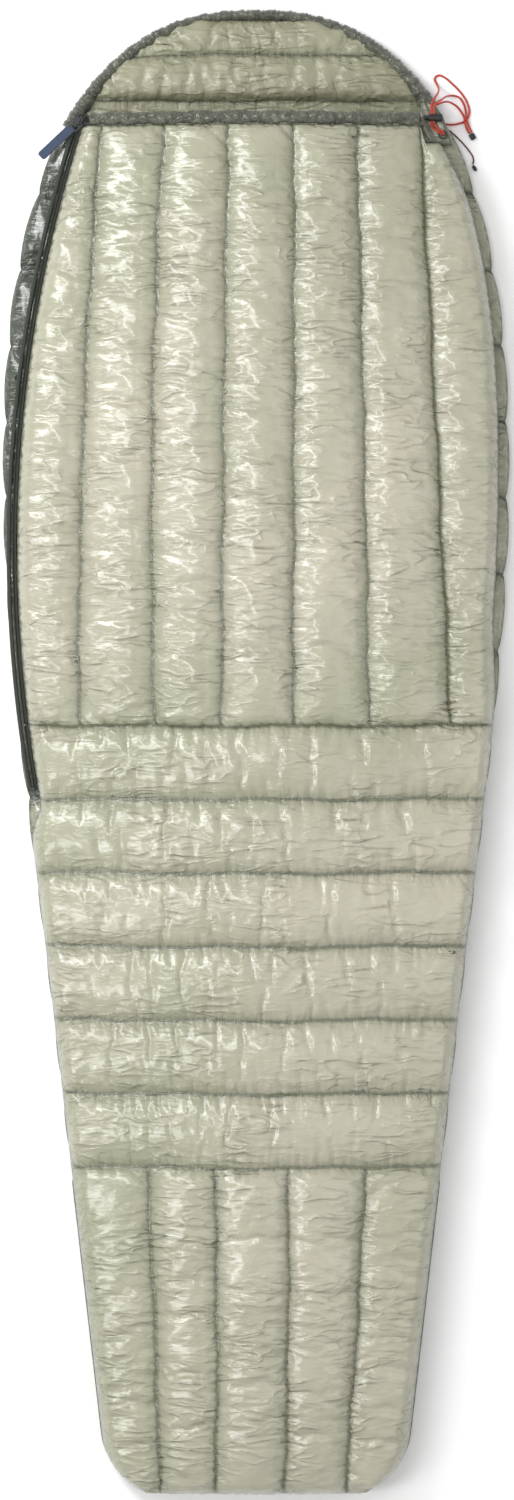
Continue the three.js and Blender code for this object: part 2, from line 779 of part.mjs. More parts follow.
const gussetTop = backLoft + layerGap + gussetHeight;
const lockPlace = point(236.5, 848, gussetTop + lockDiameter / 2 + lockSlotClearance);
const eyeletPlace = point(250.5, 826, gussetTop + chamberGap / 2);
const tipPlace = point(290, 833, 2.4);
const beadPlace = point(292.8, 789.8, 2.7);

// from the eyelet up through the lock, a loop on the floor, and back under the bag's edge
const drawcordLoop = [
  point(249, 826, 40.2), point(248, 827, 43), point(240.8, 830.6, 45.4), point(236, 835.2, 44.9),
  point(234.9, 841, 44.7), point(234.9, 855, 44.7), point(235.2, 864, 44.6), point(237.6, 871.5, 42.5),
  point(241.5, 878.5, 36), point(245.2, 886, 24), point(246, 893, 10), point(243.8, 900, 2.6),
  point(241.3, 905.5, 1.6), point(243, 910.3, 1.6), point(248.8, 911.6, 1.6), point(256, 908, 1.6),
  point(262.5, 902.5, 1.6), point(270, 895.5, 1.6), point(276.4, 888.5, 1.6), point(282.5, 880, 1.6),
  point(286.5, 871, 1.6), point(288.1, 863, 1.6), point(286.2, 854.5, 1.6), point(281, 849.2, 1.6),
  point(274, 846.6, 1.6), point(266, 845.2, 1.6), point(258, 845.4, 1.8), point(252.5, 846, 2.4),
];

// the second strand through the lock, over the loop to the shared tip
const drawcordUpper = [
  point(252.2, 826, 40.2), point(251.8, 827.4, 43), point(246.6, 831.8, 45.4), point(240.6, 837, 44.9),
  point(238.1, 842, 44.7), point(238.1, 855, 44.7), point(238.8, 863.5, 44.6), point(243, 869, 43.4),
  point(248.5, 873, 38.5), point(253.5, 878, 27), point(258.5, 882.2, 11), point(264.5, 884.3, 2.4),
  point(271, 883.4, 1.6), point(276.5, 879.6, 1.6), point(280.8, 872, 1.6), point(283, 864, 1.6),
  point(283.4, 858, 3.8), point(284.2, 852, 5.3), point(286, 846, 4.2), point(288.6, 840, 2.4),
  point(291.4, 834.4, 2.4),
];

// the end of the hood's cord, out of the gusset's side and over the loop to the same tip
const drawcordLower = [
  point(241.4, 866.2, 35.4), point(246.5, 868.6, 34.6), point(252.5, 871.6, 28), point(258.5, 873.8, 16),
  point(264, 873.6, 5.5), point(270, 870.6, 1.8), point(275.2, 865, 1.6), point(278.9, 859.2, 1.8),
  point(280.9, 854.4, 3.6), point(281.5, 849, 5.2), point(282.8, 843.6, 3.8), point(285.2, 838, 2.4),
  point(288, 832.8, 2.4),
];

// thin cord from under the bag's edge to its bead
const sideCord = [
  point(261, 837, 3), point(265.5, 833.5, 1.5), point(270.5, 829, 1.2), point(279, 820.5, 1.2),
  point(286.5, 811.5, 1.2), point(292, 803.5, 1.2), point(293.8, 797, 1.2), point(292.6, 791.4, 1.4),
];

function drawcords() {
  add('drawcord_loop', cordGeometry(drawcordLoop, cordDiameter, 34), cordMaterial);
  add('drawcord_upper', cordGeometry(drawcordUpper, cordDiameter, 24), cordMaterial);
  add('drawcord_lower', cordGeometry(drawcordLower, cordDiameter, 13), cordMaterial);
  add('side_cord', cordGeometry(sideCord, sideCordDiameter, 9), darkCordMaterial);
}

// clamp that joins the ends of the two drawcords
function cordTip() {
  const clip = new THREE.ExtrudeGeometry(ellipse(tipWidth, tipHeight, 12), {
    depth: clipLength,
    bevelEnabled: false,
  });
  const mesh = add('cord_tip', clip.rotateX(Math.PI / 2), plasticMaterial);
  mesh.position.copy(tipPlace);
  mesh.rotation.z = THREE.MathUtils.degToRad(tipTurn);
  mesh.translateY(-tipOverlap);
}

// barrel bead on the end of the thin cord
function sideCordBead() {
  const profile = [
    new THREE.Vector2(0, -beadLength),
    new THREE.Vector2(beadTailRadius, -beadLength),
    new THREE.Vector2(beadRadius, beadTaper - beadLength),
    new THREE.Vector2(beadRadius, -beadTaper),
    new THREE.Vector2(beadNeckRadius, 0),
    new THREE.Vector2(0, 0),
  ];
  const mesh = add('side_cord_bead', new THREE.LatheGeometry(profile, 10), plasticMaterial);
  mesh.position.copy(beadPlace);
  mesh.rotation.z = THREE.MathUtils.degToRad(beadTurn);
}

// a closed ring about the Y axis, with a rectangular section
function ringAboutY(innerRadius, outerRadius, low, high, sides) {
  const section = [
    new THREE.Vector2(innerRadius, low),
    new THREE.Vector2(outerRadius, low),
    new THREE.Vector2(outerRadius, high),
    new THREE.Vector2(innerRadius, high),
    new THREE.Vector2(innerRadius, low),
  ];
  return new THREE.LatheGeometry(section, sides);
}

// flat ring on the gusset that the two strands come out of
function eyelet() {
  const ring = ringAboutY(eyeletInnerRadius, eyeletOuterRadius, 0, eyeletHeight, 14);
  const mesh = add('cord_eyelet', ring.rotateX(Math.PI / 2), plasticMaterial);
  mesh.position.copy(eyeletPlace);
}

// a round bar along X between two places
function bar(diameter, left, right, sides) {
  const radius = diameter / 2;
  const geometry = new THREE.CylinderGeometry(radius, radius, right - left, sides);
  return geometry.rotateZ(Math.PI / 2).translate((left + right) / 2, 0, 0);
}

// barrel lock: a housing and a plunger with a cross slot each, pushed apart by a spring
function cordLock() {
  const slotWidth = 2 * cordDiameter + cordSpacing + 2 * lockSlotClearance;
  const slotHeight = cordDiameter + 2 * lockSlotClearance;
  const slotLeft = -slotWidth / 2;
  const slotRight = slotWidth / 2;
  const left = slotLeft - lockWall;
  const right = left + lockLength;
  const boreRight = right - lockWall;
  const bore = plungerDiameter + 2 * boreClearance;
  const slot = (from, to) => new THREE.BoxGeometry(to - from, 2 * lockDiameter, slotHeight)
    .translate((from + to) / 2, 0, 0);
  const housing = solid(bar(lockDiameter, left, right, 16))
    .subtract(solid(bar(bore, left - lockWall, boreRight, 16)))
    .subtract(solid(slot(slotLeft, slotRight)));
  const plungerRight = slotRight + plungerTravel;
  const plunger = solid(bar(plungerDiameter, plungerRight - plungerLength, plungerRight, 14))
    .subtract(solid(slot(slotLeft - plungerTravel, slotRight)));
  const springRadius = plungerDiameter / 2;
  const springLeft = plungerRight + plungerTravel + boreClearance;
  const springRight = boreRight - boreClearance;
  const spring = ringAboutY(springRadius - springWall, springRadius, springLeft, springRight, 12);
  const lock = new THREE.Group();
  lock.position.copy(lockPlace);
  bag.add(lock);
  add('lock_housing', geometryOf(housing), plasticMaterial, lock);
  add('lock_plunger', geometryOf(plunger), plasticMaterial, lock);
  add('lock_spring', spring.rotateZ(-Math.PI / 2), steelMaterial, lock);
}

backPanel();
chestPanel();
legPanel();
footPanel();
neckBand();
neckGusset();
hood();
hem();
sideZip();
sliderAndPull();
eyelet();
drawcords();
cordTip();
sideCordBead();
cordLock();

export default bag;
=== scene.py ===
import math

import bmesh
import bpy
import numpy as np
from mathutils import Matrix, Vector, noise


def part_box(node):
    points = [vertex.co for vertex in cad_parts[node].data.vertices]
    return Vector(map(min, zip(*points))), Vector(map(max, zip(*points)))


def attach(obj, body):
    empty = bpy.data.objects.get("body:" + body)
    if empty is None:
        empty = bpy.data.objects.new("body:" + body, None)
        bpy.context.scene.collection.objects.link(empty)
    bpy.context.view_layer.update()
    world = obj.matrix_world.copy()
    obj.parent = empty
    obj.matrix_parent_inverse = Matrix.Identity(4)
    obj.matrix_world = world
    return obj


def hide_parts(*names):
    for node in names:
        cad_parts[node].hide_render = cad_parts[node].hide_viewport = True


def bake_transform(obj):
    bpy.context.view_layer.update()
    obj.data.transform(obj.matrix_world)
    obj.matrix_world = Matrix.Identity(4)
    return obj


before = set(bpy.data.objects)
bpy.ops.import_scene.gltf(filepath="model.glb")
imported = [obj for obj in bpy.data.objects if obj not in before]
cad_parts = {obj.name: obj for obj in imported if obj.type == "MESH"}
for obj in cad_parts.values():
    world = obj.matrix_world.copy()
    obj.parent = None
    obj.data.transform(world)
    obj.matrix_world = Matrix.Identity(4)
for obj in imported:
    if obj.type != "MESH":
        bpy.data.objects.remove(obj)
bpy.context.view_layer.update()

# Mummy sleeping bag lying flat. Metres, +Y to the head, +X to the right, +Z up.

# ---------- sizes that the cloth follows ----------

HEAD_Y = 1.0
FOOT_Y = -1.0
HOOD_SEAM_Y = 0.876
NECK_Y = 0.852
CHEST_END_Y = 0.835
LEG_TOP_Y = 0.034
LEG_LOW_Y = -0.554
LEG_PITCH = 0.098
LEG_CHAMBERS = 6
CHEST_CHAMBERS = 7
SHOULDER_Y = 0.370
KNEE_Y = -0.334
FOOT_WIDTH_Y = -0.880
SHOULDER_HALF = 0.342
KNEE_HALF = 0.277
FOOT_HALF = 0.214
FOOT_CORNER = 0.080
KNEE_SLOPE = 0.115
HOOD_ROUNDNESS = 2.45

BACK_LOFT = 0.030
EDGE_Z = 0.0342
WALL_RUN = 0.020
WALL_RISE = 0.028
DOME_RISE = 0.0298
MOUTH_RUN = 0.150
MOUTH_LOWERING = 0.45
SIDE_INSET = 0.003
RIGHT_INSET = 0.016
INSET_RUN = 0.160
CORNER_DROP = 0.024

# seams as shares of the shoulder's or the foot's half width: at the neck, at the legs, bow between
CHEST_SEAMS = (
    (-0.6, -0.69, -0.026),
    (-0.357, -0.395, -0.026),
    (-0.108, -0.134, -0.004),
    (0.146, 0.141, 0.004),
    (0.389, 0.439, 0.004),
    (0.637, 0.76, 0.004),
)
FOOT_SEAMS = (
    (-0.68, -0.6, 0.012),
    (-0.257, -0.25, 0.012),
    (0.2, 0.175, 0.012),
    (0.68, 0.55, 0.012),
)

ZIP_CENTRE = (1.521736, 0.273311)
ZIP_RADIUS = 1.850264
ZIP_FLANGE = 0.0075
ZIP_LOW_Y = -0.054
ZIP_TOP_Y = 0.856
TAPE_Z = 0.03215


# ---------- camera ----------

VIEW_HEIGHT = 2.010
VIEW_LENS = 100.0
VIEW_SENSOR = 36.0
VIEW_CENTRE = (0.0013, 0.0007)
VIEW_LEVEL = 0.045


def link(name, data):
    """A new object in the scene around a mesh, a camera or a light."""
    piece = bpy.data.objects.new(name, data)
    bpy.context.collection.objects.link(piece)
    return piece


def make_camera():
    data = bpy.data.cameras.new("camera")
    data.lens = VIEW_LENS
    data.sensor_fit = "VERTICAL"
    data.sensor_height = VIEW_SENSOR
    camera = link("camera", data)
    camera.location = (*VIEW_CENTRE, VIEW_LEVEL + VIEW_HEIGHT * VIEW_LENS / VIEW_SENSOR)
    bpy.context.scene.camera = camera


make_camera()


# ---------- mesh helpers ----------

def new_object(name, vertices, faces, uvs=None, smooth=True):
    """A mesh object in the row frame. uvs is one pair for each vertex."""
    mesh = bpy.data.meshes.new(name)
    mesh.from_pydata([tuple(v) for v in vertices], [], [tuple(f) for f in faces])
    mesh.polygons.foreach_set("use_smooth", [smooth] * len(mesh.polygons))
    if uvs is not None:
        layer = mesh.uv_layers.new(name="run")
        index = np.empty(len(mesh.loops), dtype=int)
        mesh.loops.foreach_get("vertex_index", index)
        layer.data.foreach_set("uv", np.asarray(uvs, dtype=float)[index].ravel())
    mesh.update()
    return link(name, mesh)


def set_attribute(piece, name, values):
    attribute = piece.data.attributes.new(name, "FLOAT", "POINT")
    attribute.data.foreach_set("value", np.asarray(values, dtype=float))


def give(piece, material):
    piece.data.materials.clear()
    piece.data.materials.append(material)


def smooth_path(points, step):
    """Points a step apart on a smooth curve through the given ones."""
    knots = np.asarray(points, dtype=float)
    ends = np.vstack([2 * knots[0] - knots[1], knots, 2 * knots[-1] - knots[-2]])
    t = np.linspace(0, 1, 12, endpoint=False)[:, None]
    pieces = []
    for a, b, c, d in zip(ends[:-3], ends[1:-2], ends[2:-1], ends[3:]):
        pieces.append(0.5 * (2 * b + (c - a) * t + (2 * a - 5 * b + 4 * c - d) * t ** 2
                             + (3 * b - a - 3 * c + d) * t ** 3))
    dense = np.vstack([*pieces, knots[-1:]])
    run = np.concatenate([[0], np.cumsum(np.linalg.norm(np.diff(dense, axis=0), axis=1))])
    places = np.linspace(0, run[-1], max(int(round(run[-1] / step)), 2) + 1)
    return np.stack([np.interp(places, run, dense[:, k]) for k in range(3)], axis=1)


def ring_faces(rings, sides):
    """Faces between neighbouring rings of points that follow each other."""
    faces = []
    for ring in range(rings - 1):
        for j in range(sides):
            a, b = ring * sides + j, ring * sides + (j + 1) % sides
            faces.append((a, a + sides, b + sides, b))
    return faces


def tube(name, path, sides, outline):
    """A closed tube along a path. outline(run, angle) gives how far its skin is out sideways and up,
    as two arrays, at each place along it; angle 0 is sideways and a quarter turn is up."""
    path = np.asarray(path, dtype=float)
    tangent = np.gradient(path, axis=0)
    tangent /= np.linalg.norm(tangent, axis=1)[:, None]
    up = np.array([0.0, 0.0, 1.0])
    side_rows, up_rows = [], []
    for direction in tangent:
        up = up - direction * np.dot(up, direction)
        up = up / np.linalg.norm(up)
        up_rows.append(up)
        side_rows.append(np.cross(direction, up))
    side_rows, up_rows = np.array(side_rows), np.array(up_rows)
    step = np.linalg.norm(np.diff(path, axis=0), axis=1)
    run = np.concatenate([[0], np.cumsum(step)])
    angle = np.linspace(0, 2 * math.pi, sides, endpoint=False)
    runs, angles = np.meshgrid(run, angle, indexing="ij")
    out, rise = outline(runs, angles)
    rings = path[:, None] + side_rows[:, None] * out[..., None] + up_rows[:, None] * rise[..., None]
    count = len(path)
    vertices = np.vstack([rings.reshape(-1, 3), path[:1], path[-1:]])
    uvs = np.stack([runs.ravel(), angles.ravel() / (2 * math.pi)], axis=1)
    uvs = np.vstack([uvs, [[0, 0.5], [run[-1], 0.5]]])
    faces = ring_faces(count, sides)
    first, last = count * sides, count * sides + 1
    for j in range(sides):
        k = (j + 1) % sides
        faces.append((first, j, k))
        faces.append((last, (count - 1) * sides + k, (count - 1) * sides + j))
    piece = new_object(name, vertices, faces, uvs)
    turn_outwards(piece)
    return piece


def turn_outwards(piece):
    """Turns a closed mesh's faces so that its volume comes out positive."""
    mesh = piece.data
    mesh.calc_loop_triangles()
    corners = np.array([v.co for v in mesh.vertices])
    triangles = np.array([t.vertices for t in mesh.loop_triangles])
    a, b, c = corners[triangles[:, 0]], corners[triangles[:, 1]], corners[triangles[:, 2]]
    if np.einsum("ij,ij->i", a, np.cross(b, c)).sum() < 0:
        mesh.flip_normals()


# ---------- cords ----------

CORD_DIAMETER = 0.0028
SIDE_CORD_DIAMETER = 0.0020

# the points that the cords pass through, in millimetres
DRAWCORD_LOOP = (
    (249, 826, 40.2), (248, 827, 43), (240.8, 830.6, 45.4), (236, 835.2, 44.9), (234.9, 841, 44.7),
    (234.9, 855, 44.7), (235.2, 864, 44.6), (237.6, 871.5, 42.5), (241.5, 878.5, 36), (245.2, 886, 24),
    (246, 893, 10), (243.8, 900, 2.6), (241.3, 905.5, 1.6), (243, 910.3, 1.6), (248.8, 911.6, 1.6),
    (256, 908, 1.6), (262.5, 902.5, 1.6), (270, 895.5, 1.6), (276.4, 888.5, 1.6), (282.5, 880, 1.6),
    (286.5, 871, 1.6), (288.1, 863, 1.6), (286.2, 854.5, 1.6), (281, 849.2, 1.6), (274, 846.6, 1.6),
    (266, 845.2, 1.6), (258, 845.4, 1.8), (252.5, 846, 2.4),
)
DRAWCORD_UPPER = (
    (252.2, 826, 40.2), (251.8, 827.4, 43), (246.6, 831.8, 45.4), (240.6, 837, 44.9),
    (238.1, 842, 44.7), (238.1, 855, 44.7), (238.8, 863.5, 44.6), (243, 869, 43.4), (248.5, 873, 38.5),
    (253.5, 878, 27), (258.5, 882.2, 11), (264.5, 884.3, 2.4), (271, 883.4, 1.6), (276.5, 879.6, 1.6),
    (280.8, 872, 1.6), (283, 864, 1.6), (283.4, 858, 3.8), (284.2, 852, 5.3), (286, 846, 4.2),
    (288.6, 840, 2.4), (291.4, 834.4, 2.4),
)
DRAWCORD_LOWER = (
    (241.4, 866.2, 35.4), (246.5, 868.6, 34.6), (252.5, 871.6, 28), (258.5, 873.8, 16),
    (264, 873.6, 5.5), (270, 870.6, 1.8), (275.2, 865, 1.6), (278.9, 859.2, 1.8), (280.9, 854.4, 3.6),
    (281.5, 849, 5.2), (282.8, 843.6, 3.8), (285.2, 838, 2.4), (288, 832.8, 2.4),
)
SIDE_CORD = (
    (261, 837, 3), (265.5, 833.5, 1.5), (270.5, 829, 1.2), (279, 820.5, 1.2), (286.5, 811.5, 1.2),
    (292, 803.5, 1.2), (293.8, 797, 1.2), (292.6, 791.4, 1.4),
)


def make_cord(name, points, diameter):
    """A round braided cord, and the line that it follows."""
    path = smooth_path(np.array(points) / 1000, diameter * 0.4)

    def outline(run, angle):
        return np.cos(angle) * diameter / 2, np.sin(angle) * diameter / 2

    return tube(name, path, 14, outline), path


drawcord_loop, loop_path = make_cord("drawcord_loop_cord", DRAWCORD_LOOP, CORD_DIAMETER)
drawcord_upper, upper_path = make_cord("drawcord_upper_cord", DRAWCORD_UPPER, CORD_DIAMETER)
drawcord_lower, lower_path = make_cord("drawcord_lower_cord", DRAWCORD_LOWER, CORD_DIAMETER)
side_cord, side_path = make_cord("side_cord_braid", SIDE_CORD, SIDE_CORD_DIAMETER)


# ---------- the bag's plan and heights ----------

def smoothstep(value, low, high):
    share = np.clip((value - low) / (high - low), 0, 1)
    return share * share * (3 - 2 * share)


def half_width(y):
    """Half the bag's width at a place along it."""
    y = np.asarray(y, dtype=float)
    hood_share = np.clip((y - SHOULDER_Y) / (HEAD_Y - SHOULDER_Y), 0, 1)
    hood = SHOULDER_HALF * (1 - hood_share ** HOOD_ROUNDNESS) ** (1 / HOOD_ROUNDNESS)
    share = np.clip((y - KNEE_Y) / (SHOULDER_Y - KNEE_Y), 0, 1)
    start = 2 * share ** 3 - 3 * share ** 2 + 1
    slope = KNEE_SLOPE * (SHOULDER_Y - KNEE_Y) * (share ** 3 - 2 * share ** 2 + share)
    body = KNEE_HALF * start + slope + SHOULDER_HALF * (1 - start)
    straight = FOOT_HALF + (KNEE_HALF - FOOT_HALF) * (y - FOOT_WIDTH_Y) / (KNEE_Y - FOOT_WIDTH_Y)
    into = np.clip(FOOT_Y + FOOT_CORNER - y, 0, FOOT_CORNER)
    foot = straight - FOOT_CORNER + np.sqrt(FOOT_CORNER ** 2 - into ** 2)
    return np.where(y >= SHOULDER_Y, hood, np.where(y >= KNEE_Y, body, foot))


def top_half(y):
    share = smoothstep(y, LEG_TOP_Y, LEG_TOP_Y + INSET_RUN)
    return half_width(y) - SIDE_INSET - (RIGHT_INSET - SIDE_INSET) * share


def zip_x(y):
    return ZIP_CENTRE[0] - np.sqrt(ZIP_RADIUS ** 2 - (np.asarray(y) - ZIP_CENTRE[1]) ** 2)


def top_left(y):
    """Left edge of the top: beside the zip, then out to the outline below it."""
    y = np.asarray(y, dtype=float)
    beside = np.maximum(zip_x(np.maximum(y, ZIP_LOW_Y - 0.02)) + ZIP_FLANGE, -top_half(y))
    share = smoothstep(y, ZIP_LOW_Y - 0.078, ZIP_LOW_Y - 0.008)
    return beside * share - top_half(y) * (1 - share)


def seam_x(seams, y, high, low, unit):
    """Where the lengthwise seams are at a place along the bag: one row for each seam."""
    share = (high - y) / (high - low)
    rows = [unit * (a + (b - a) * share + bow * 4 * share * (1 - share)) for a, b, bow in seams]
    return np.array(rows)


def top_height(x, y):
    """Height of the top's seams and of the middle of its loft."""
    edge = np.where(x < 0, -top_left(y), top_half(y))
    to_side = edge - np.abs(x)
    to_end = y - FOOT_Y - SIDE_INSET

    def wall(distance):
        share = np.clip(distance / WALL_RUN, 0, 1)
        return np.sqrt(1 - (1 - share) ** 2)

    across = np.clip(1 - (x / edge) ** 2, 0, 1) ** 2
    along = wall(to_end * WALL_RUN / (2 * FOOT_CORNER))
    mouth = MOUTH_LOWERING * smoothstep(y, NECK_Y - MOUTH_RUN, NECK_Y)
    dome = DOME_RISE * across * along * (1 - mouth)
    return EDGE_Z + WALL_RISE * wall(np.minimum(to_side, to_end)) + dome


# ---------- sewn cloth, blown up by its down ----------

SIM_SCALE = 10.0
CLOTH_GROWTH = 0.10
CLOTH_FRAMES = 22
CLOTH_PRESSURE = 7.0
CLOTH_SETTINGS = {
    "quality": 4, "mass": 0.2, "air_damping": 2,
    "tension_stiffness": 18, "compression_stiffness": 18, "shear_stiffness": 6, "bending_stiffness": 0.04,
    "tension_damping": 6, "compression_damping": 6, "shear_damping": 6, "bending_damping": 0.5,
}
MOVE_CAP = 0.012


def plain_loft(x, y, sewn, loft):
    """Height of an evenly filled quilt: how far each point is from its nearest seam."""
    along_rows = run_to_seam(sewn, np.sqrt(np.gradient(x, axis=1) ** 2 + np.gradient(y, axis=1) ** 2))
    turned = np.sqrt(np.gradient(x, axis=0) ** 2 + np.gradient(y, axis=0) ** 2).T
    along_columns = run_to_seam(sewn.T, turned).T
    near = np.minimum(along_rows, along_columns)
    share = np.clip(near / (2.2 * loft), 0, 1)
    return loft * np.sqrt(1 - (1 - share) ** 2), near


def run_to_seam(sewn, step):
    """Distance along each row to the nearest sewn point of that row."""
    rows, columns = sewn.shape
    ahead = np.full((rows, columns), 1.0)
    back = np.full((rows, columns), 1.0)
    for j in range(columns):
        before = back[:, j - 1] + step[:, j] if j else np.ones(rows)
        back[:, j] = np.where(sewn[:, j], 0, before)
    for j in reversed(range(columns)):
        after = ahead[:, j + 1] + step[:, j] if j + 1 < columns else np.ones(rows)
        ahead[:, j] = np.where(sewn[:, j], 0, after)
    return np.minimum(ahead, back)


def grid_faces(rows, columns):
    faces = []
    for i in range(rows - 1):
        for j in range(columns - 1):
            a = i * columns + j
            faces.append((a, a + columns, a + columns + 1, a + 1))
    return faces


def inflate(name, x, y, sewn, loft, seed):
    """Blows up a flat grid of cloth that is held at its seams. Gives each point's move in x, y, z."""
    start, near = plain_loft(x, y, sewn, loft)
    random = np.random.default_rng(seed)
    z = 0.25 * start + np.where(sewn, 0, random.uniform(-0.0006, 0.0006, x.shape))
    flat = np.stack([x.ravel(), y.ravel(), z.ravel()], axis=1) * SIM_SCALE
    cloth = new_object(name, flat, grid_faces(*x.shape))
    held = cloth.vertex_groups.new(name="held")
    held.add([int(i) for i in np.flatnonzero(sewn.ravel())], 1.0, "REPLACE")
    modifier = cloth.modifiers.new("cloth", "CLOTH")
    settings = modifier.settings
    for label, value in CLOTH_SETTINGS.items():
        setattr(settings, label, value)
    settings.shrink_min = settings.shrink_max = -CLOTH_GROWTH
    settings.vertex_group_mass = "held"
    settings.use_pressure = True
    settings.uniform_pressure_force = CLOTH_PRESSURE
    settings.effector_weights.gravity = 0
    modifier.collision_settings.use_collision = False
    modifier.collision_settings.use_self_collision = False
    scene = bpy.context.scene
    modifier.point_cache.frame_start = 1
    modifier.point_cache.frame_end = CLOTH_FRAMES
    for number in range(1, CLOTH_FRAMES + 1):
        scene.frame_set(number)
    graph = bpy.context.evaluated_depsgraph_get()
    moved = np.empty(len(flat) * 3)
    cloth.evaluated_get(graph).data.vertices.foreach_get("co", moved)
    moved = moved.reshape(-1, 3) - flat * (1, 1, 0)
    bpy.data.objects.remove(cloth, do_unlink=True)
    scene.frame_set(1)
    dx, dy, dz = (moved[:, k].reshape(x.shape) / SIM_SCALE for k in range(3))
    dz = loft * 1.12 * np.tanh(np.clip(dz, 0, None) / (loft * 1.12))
    return np.clip(dx, -MOVE_CAP, MOVE_CAP), np.clip(dy, -MOVE_CAP, MOVE_CAP), dz, near


CREASE_DEPTH = 0.0030
CREASE_LENGTHS = ((0.036, 0.75, 0.6), (0.027, -0.8, 0.5), (0.021, 0.3, 0.35))


def noise_field(a, b, level):
    """Noise at each pair of places, on one level."""
    values = [noise.noise(Vector((u, v, level))) for u, v in zip(a.ravel(), b.ravel())]
    return np.array(values).reshape(a.shape)


def creases(x, y, near, seed):
    """Diagonal creases of slack cloth, deepest a little away from the seams."""
    total = np.zeros(x.shape)
    for k, (size, turn, share) in enumerate(CREASE_LENGTHS):
        c, s = math.cos(turn), math.sin(turn)
        along = (x * c + y * s) / (size * 2.6)
        over = (y * c - x * s) / size
        field = noise_field(along, over, seed + 7.3 * k)
        patch = noise_field(x * 11, y * 11, seed + 31 + k)
        total += share * np.clip(1 - np.abs(field) * 5.5, 0, 1) ** 1.3 * np.clip(0.45 + patch, 0, 1)
    return CREASE_DEPTH * total * smoothstep(near, 0.002, 0.014)


def border(shape):
    """Which points of a grid are on its outer edge."""
    edge = np.ones(shape, dtype=bool)
    edge[1:-1, 1:-1] = False
    return edge


def quilt_piece(name, grids, across, rows=slice(None), columns=slice(None)):
    """A closed quilted piece from a part of the upper and lower grids. Its edge is where they meet."""
    upper, lower, near, across = (grid[rows, columns].copy() for grid in (*grids, across))
    count_y, count_x = upper.shape[:2]
    edge = border((count_y, count_x))
    inner = ~edge
    inner_count = int(inner.sum())
    upper[edge] = (upper[edge] + lower[edge]) / 2
    index_up = np.arange(count_y * count_x).reshape(count_y, count_x)
    index_low = index_up.copy()
    index_low[inner] = count_y * count_x + np.arange(inner_count)
    vertices = np.vstack([upper.reshape(-1, 3), lower[inner]])
    faces = []
    for i in range(count_y - 1):
        for j in range(count_x - 1):
            corners = ((i, j), (i + 1, j), (i + 1, j + 1), (i, j + 1))
            faces.append([int(index_up[c]) for c in corners])
            faces.append([int(index_low[c]) for c in reversed(corners)])
    piece = new_object(name, vertices, faces)
    turn_outwards(piece)
    on_edge = np.concatenate([edge.ravel(), np.zeros(inner_count, dtype=bool)])
    for line in piece.data.edges:
        line.use_edge_sharp = bool(on_edge[line.vertices[0]] and on_edge[line.vertices[1]])
    set_attribute(piece, "seam_run", np.concatenate([near.ravel(), near[inner]]))
    set_attribute(piece, "across", np.concatenate([across.ravel(), across[inner]]))
    set_attribute(piece, "inside", np.concatenate([np.zeros(near.size), np.ones(inner_count)]))
    return piece


SEAM_HALF = 0.0004
CHEST_COLUMNS = 18
TOP_COLUMNS = CHEST_CHAMBERS * CHEST_COLUMNS + 1
CHEST_ROWS = 158
LEG_ROWS = 19
FOOT_ROWS = 88
FOOT_SEAM_COLUMNS = (0, 25, 50, 76, 101, 126)


def seam_wander(along, phase):
    """Small sideways wander of a hand guided seam."""
    return 0.0012 * np.sin(along * 31 + phase) + 0.0007 * np.sin(along * 83 + 2.1 * phase)


def panel_rows(*panels):
    """Places of the rows along panels that join, each panel given as (from, to, count)."""
    rows = [np.linspace(start, end, count + 1) for start, end, count in panels]
    return np.concatenate([rows[0], *(row[1:] for row in rows[1:])])


def even_grid(ys, width, columns):
    """A grid whose columns share out the width of each row."""
    x = width[:, None] * np.linspace(-1, 1, columns)[None, :]
    return x, np.repeat(ys[:, None], columns, axis=1)


def wander_rows(x, y, rows, spread, phase, share=1.0):
    """Lets crosswise seams wander along the bag, and the rows beside them with them."""
    for k, row in enumerate(rows):
        reach = np.exp(-((np.arange(len(x)) - row) / spread) ** 2)[:, None]
        y = y + reach * seam_wander(x[row], phase * k)[None, :] * share
    return y


